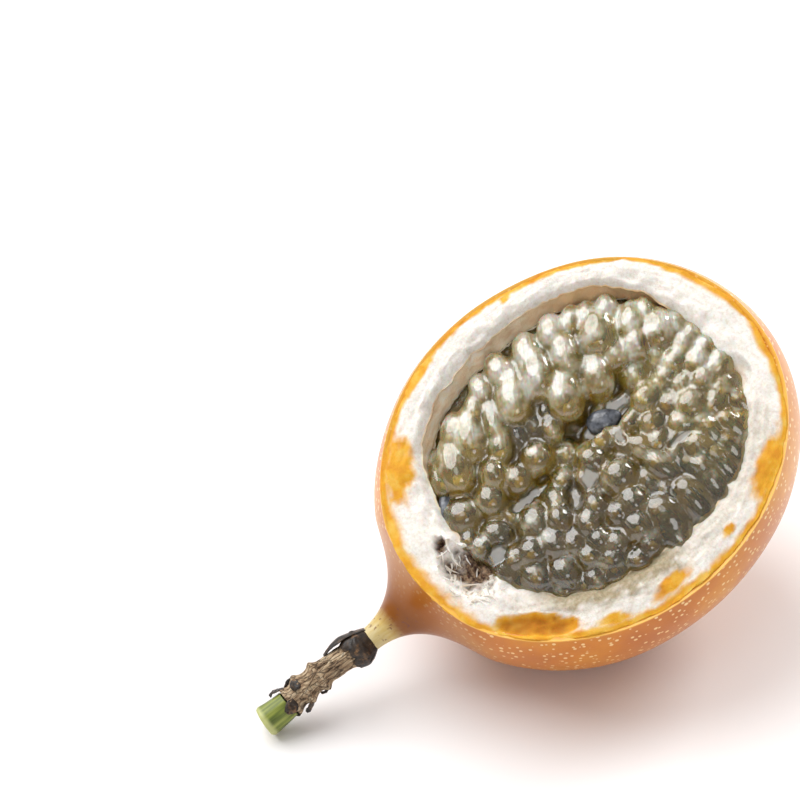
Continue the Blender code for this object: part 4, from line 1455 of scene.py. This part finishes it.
def make_membrane():
    """The thin wrinkled skin that stands round the pulp."""
    bpy.ops.object.select_all(action="DESELECT")
    bpy.ops.mesh.primitive_cylinder_add(
        vertices=MEMBRANE_SIDES, radius=1, depth=2, end_fill_type="NOTHING"
    )
    band = added("pulp_membrane")
    edit(band)
    bpy.ops.mesh.subdivide(number_cuts=MEMBRANE_CUTS)
    leave()
    centre, half = pulp_space()

    def ruffle(co):
        rise = (co.z + 1) / 2
        way = Vector((co.x, co.y, 0)).normalized()
        edge = (1 + squared(way)) * 0.92
        shore = bed_level(centre.x + half.x * edge * way.x, centre.y + half.y * edge * way.y)
        top = shore + 0.35 * MM + 0.8 * MM * noise.noise(way * 5 + Vector((7, 0, 0)))
        height = top - (1 - rise) * 3 * MM
        level = math.sqrt(1 - (height / half.z) ** 2)
        full = (1 + squared(way)) * level
        wrinkle = 0.3 * MM * noise.noise(way * 30 + Vector((0, 0, rise * 1.2)))
        out = wrinkle - 0.3 * MM * rise**2 + 0.5 * MM * rise * noise.noise(way * 11)
        x = centre.x + (half.x * full + out) * way.x
        y = centre.y + (half.y * full + out) * way.y
        return Vector((x, y, height + 0.25 * MM * noise.noise(way * 22) * rise))

    shape(band, ruffle)
    modify(band, "SOLIDIFY", thickness=0.14 * MM, offset=0.0)
    smooth(band, 60)
    return settle(band, membrane_finish())


# The stalk


def rod(name, start, stop, rings, sides, radius_at):
    """A closed rod along the stalk's line, whose radius follows distance and turn."""
    profile = [(0.0, 0.0), (0.0, 0.5)]
    profile += [(i / rings, 1.0) for i in range(rings + 1)]
    profile += [(1.0, 0.5), (1.0, 0.0)]
    made = spun(name, profile, sides)

    def follow(co):
        distance = start + (stop - start) * co.x
        turn = math.atan2(co.y, co.z)
        out = math.hypot(co.y, co.z)
        return on_stalk(distance, turn, out * radius_at(distance, turn))

    shape(made, follow)
    edit(made)
    bpy.ops.mesh.normals_make_consistent(inside=False)
    leave()
    return made


def bark_radius(distance, turn):
    """The wood's radius with cracks along it, blocks and uneven joint rings."""
    way = Vector((math.cos(turn), math.sin(turn), 0))
    uneven_ring = 1 + 0.5 * noise.noise(way * 1.4 + Vector((0, 0, distance / (2 * MM))))
    radius = STALK_RADIUS
    for place, extra, width in JOINT_RINGS:
        shift = 0.35 * MM * noise.noise(way * 1.7 + Vector((place / MM, 0, 0)))
        radius += extra * uneven_ring * math.exp(-(((distance - place - shift) / width) ** 2))
    line = Vector((way.x * 3.2, way.y * 3.2, distance / (3.2 * MM)))
    crack = 1 - min(1.0, abs(noise.noise(line)) * 7)
    radius -= 0.28 * MM * crack**2
    radius += 0.12 * MM * noise.noise(line * 2.3)
    return radius


def make_wood():
    wood = rod("stalk_wood", NECK_END + GAP, WOOD_END - GAP, 150, 88, bark_radius)
    smooth(wood, 55)
    return settle(wood, wood_finish(), "stalk")


def leaf_pattern():
    """One dry leaf's pattern: a flat sheet one unit square, which make_leaves bends into shape."""
    bpy.ops.object.select_all(action="DESELECT")
    bpy.ops.mesh.primitive_grid_add(x_subdivisions=12, y_subdivisions=18, size=1)
    return added("leaf")


# distance of the root, angle round the stalk, length, width, lift, lean, curl
DRY_LEAVES = (
    (47.0, 78, 8.2, 4.0, 1.9, -5, 1.0),
    (47.0, 128, 6.0, 3.8, 1.5, -6, 1.3),
    (46.9, 30, 4.8, 4.2, 1.5, -6, 1.2),
    (47.0, 190, 5.2, 3.8, 1.3, -6, 1.1),
    (47.0, 245, 4.2, 3.8, 1.4, -8, 1.2),
    (47.0, 300, 4.6, 3.8, 1.5, -10, 1.1),
    (46.9, 345, 4.2, 4.0, 1.6, -6, 1.2),
    (60.3, 95, 2.6, 2.0, 0.6, -20, 0.8),
    (60.4, 275, 2.2, 2.0, 0.5, 8, 0.8),
    (60.0, 20, 1.8, 2.2, 0.5, -22, 0.8),
    (62.8, 70, 2.6, 2.4, 0.6, 6, 0.8),
    (62.7, 140, 2.0, 2.2, 0.5, 6, 0.8),
    (62.6, 330, 2.4, 2.4, 0.6, 4, 0.8),
    (62.7, 210, 2.0, 2.2, 0.5, 4, 0.8),
    (57.0, 250, 1.6, 1.8, 0.4, -18, 0.8),
)


def make_leaves():
    """The dried calyx at the neck and the spiky scales along the stalk."""
    pattern = leaf_pattern()
    leaves = []
    for index, (root, turn, length, width, lift, lean, curl) in enumerate(DRY_LEAVES):
        leaf = copied(pattern)
        middle, way, up, across = stalk_frame(root * MM)
        angle = math.radians(turn)
        out = up * math.cos(angle) + across * math.sin(angle)
        beside = way.cross(out)
        along = Matrix.Rotation(math.radians(lean), 3, beside) @ way
        start = middle + out * (wood_radius(root * MM) - 0.25 * MM)
        for vert in leaf.data.vertices:
            past = vert.co.y + 0.5
            side = vert.co.x * 2
            bulge = math.sin(math.pi * (0.2 + 0.74 * past)) ** 0.8
            seed = Vector((side * 1.3, past * 2.6, index * 3.7))
            crumple = 0.32 * MM * noise.noise(seed) + 0.14 * MM * noise.noise(seed * 2.7)
            ragged = 1 + 0.16 * noise.noise(Vector((past * 7, index * 5.1, side)))
            wrap = side * side * curl * 0.4 * MM * width / 3
            point = start + along * length * MM * (past - 0.12)
            point += beside * side * width / 2 * MM * bulge * ragged
            point += out * (lift * MM * math.sin(2.2 * past) - wrap + crumple * (0.4 + past))
            vert.co = point
        leaves.append(leaf)
    bpy.data.objects.remove(pattern)
    calyx = joined(leaves, "dry_leaves")
    modify(calyx, "SOLIDIFY", thickness=0.22 * MM, offset=0.0)
    modify(calyx, "SUBSURF", levels=1, render_levels=1)
    smooth(calyx, 60)
    return settle(calyx, calyx_finish())


def green_side(distance, turn):
    ribs = 0.05 * MM * math.sin(turn * 9) + 0.08 * MM * noise.noise(
        Vector((math.cos(turn), math.sin(turn), distance / (4 * MM)))
    )
    last = step_between(STALK_END - 0.35 * MM, STALK_END, distance)
    return green_radius(distance) + ribs - 0.2 * MM * last


def make_green():
    green = rod("green_stalk", WOOD_END, STALK_END, 40, 72, green_side)

    def marks(co):
        distance = -co.x
        middle = stalk_line(distance)
        out = (co - middle).length
        at_end = step_between(STALK_END - 0.5 * MM, STALK_END - 0.15 * MM, distance)
        pale = step_between(STALK_END - 1.2 * MM, STALK_END - 0.3 * MM, distance)
        cut = at_end * (1 - step_between(GREEN_RADIUS - 0.2 * MM, GREEN_RADIUS, out))
        heart = at_end * (1 - step_between(0.9 * MM, 1.5 * MM, out))
        return pale, cut, heart, 1.0

    paint_points(green, "marks", marks)
    smooth(green, 50)
    return settle(green, green_finish(), "stalk_end")


# The stage


def seen_from(azimuth, elevation):
    """The way from the fruit to a place that many degrees round and up."""
    a, e = math.radians(azimuth), math.radians(elevation)
    return Vector((math.sin(a) * math.cos(e), -math.cos(a) * math.cos(e), math.sin(e)))


def area_light(middle, name, azimuth, elevation, distance, size, tall, power):
    """A soft light that looks at the fruit from that side."""
    back = seen_from(azimuth, elevation)
    lamp = bpy.data.lights.new(name, "AREA")
    lamp.shape = "ELLIPSE"
    lamp.size = size
    lamp.size_y = size * tall
    lamp.energy = power
    obj = bpy.data.objects.new(name, lamp)
    bpy.context.scene.collection.objects.link(obj)
    obj.location = middle + back * distance
    obj.rotation_euler = (-back).to_track_quat("-Z", "Y").to_euler()


def make_stage(middle):
    bpy.ops.object.select_all(action="DESELECT")
    bpy.ops.mesh.primitive_plane_add(size=FLOOR_SIZE, location=(0, 0, 0))
    floor = added("floor")
    made, tree, shader = finish_named("pale_floor", 0.6)
    spot = add(tree, "TexCoord", {}, "Object")
    cloud = noise_at(tree, spot, 3.0, 1.0)
    colour(tree, shader, ramp(tree, cloud, (0.3, (0.91, 0.90, 0.90)), (0.7, (0.93, 0.92, 0.92))))
    floor.data.materials.append(made)
    for light in LIGHTS:
        area_light(middle, *light)
    world = bpy.data.worlds.new("white_room")
    world.use_nodes = True
    sky = world.node_tree.nodes["Background"]
    sky.inputs["Color"].default_value = ROOM_COLOUR
    sky.inputs["Strength"].default_value = ROOM_STRENGTH
    bpy.context.scene.world = world
    bpy.context.scene.view_settings.view_transform = "Standard"


def make_camera(middle):
    """The camera that sees the fruit where the photograph has it."""
    back = seen_from(CAMERA_AZIMUTH, CAMERA_ELEVATION)
    lens = bpy.data.cameras.new("camera")
    lens.sensor_width = SENSOR
    lens.lens = FOCAL_PIXELS * SENSOR / IMAGE_SIDE
    lens.clip_start = 0.01
    camera = bpy.data.objects.new("camera", lens)
    bpy.context.scene.collection.objects.link(camera)
    aside = math.atan((FRUIT_IN_IMAGE[0] - IMAGE_SIDE / 2) / FOCAL_PIXELS)
    below = math.atan((FRUIT_IN_IMAGE[1] - IMAGE_SIDE / 2) / FOCAL_PIXELS)
    facing = (-back).to_track_quat("-Z", "Y")
    turned = facing @ Euler((below, aside, 0)).to_quaternion()
    place = Matrix.Translation(middle + back * CAMERA_DISTANCE)
    camera.matrix_world = place @ turned.to_matrix().to_4x4()
    bpy.context.scene.camera = camera


def main():
    bpy.ops.object.select_all(action="DESELECT")
    sacs = lying_sacs(sac_places())
    make_skin()
    make_pith()
    make_fibres()
    make_gel(sacs)
    make_seeds(sacs)
    make_tips(sacs)
    make_core()
    make_membrane()
    make_wood()
    make_leaves()
    make_green()
    make_stage(FRUIT.translation)
    make_camera(FRUIT.translation)


main()
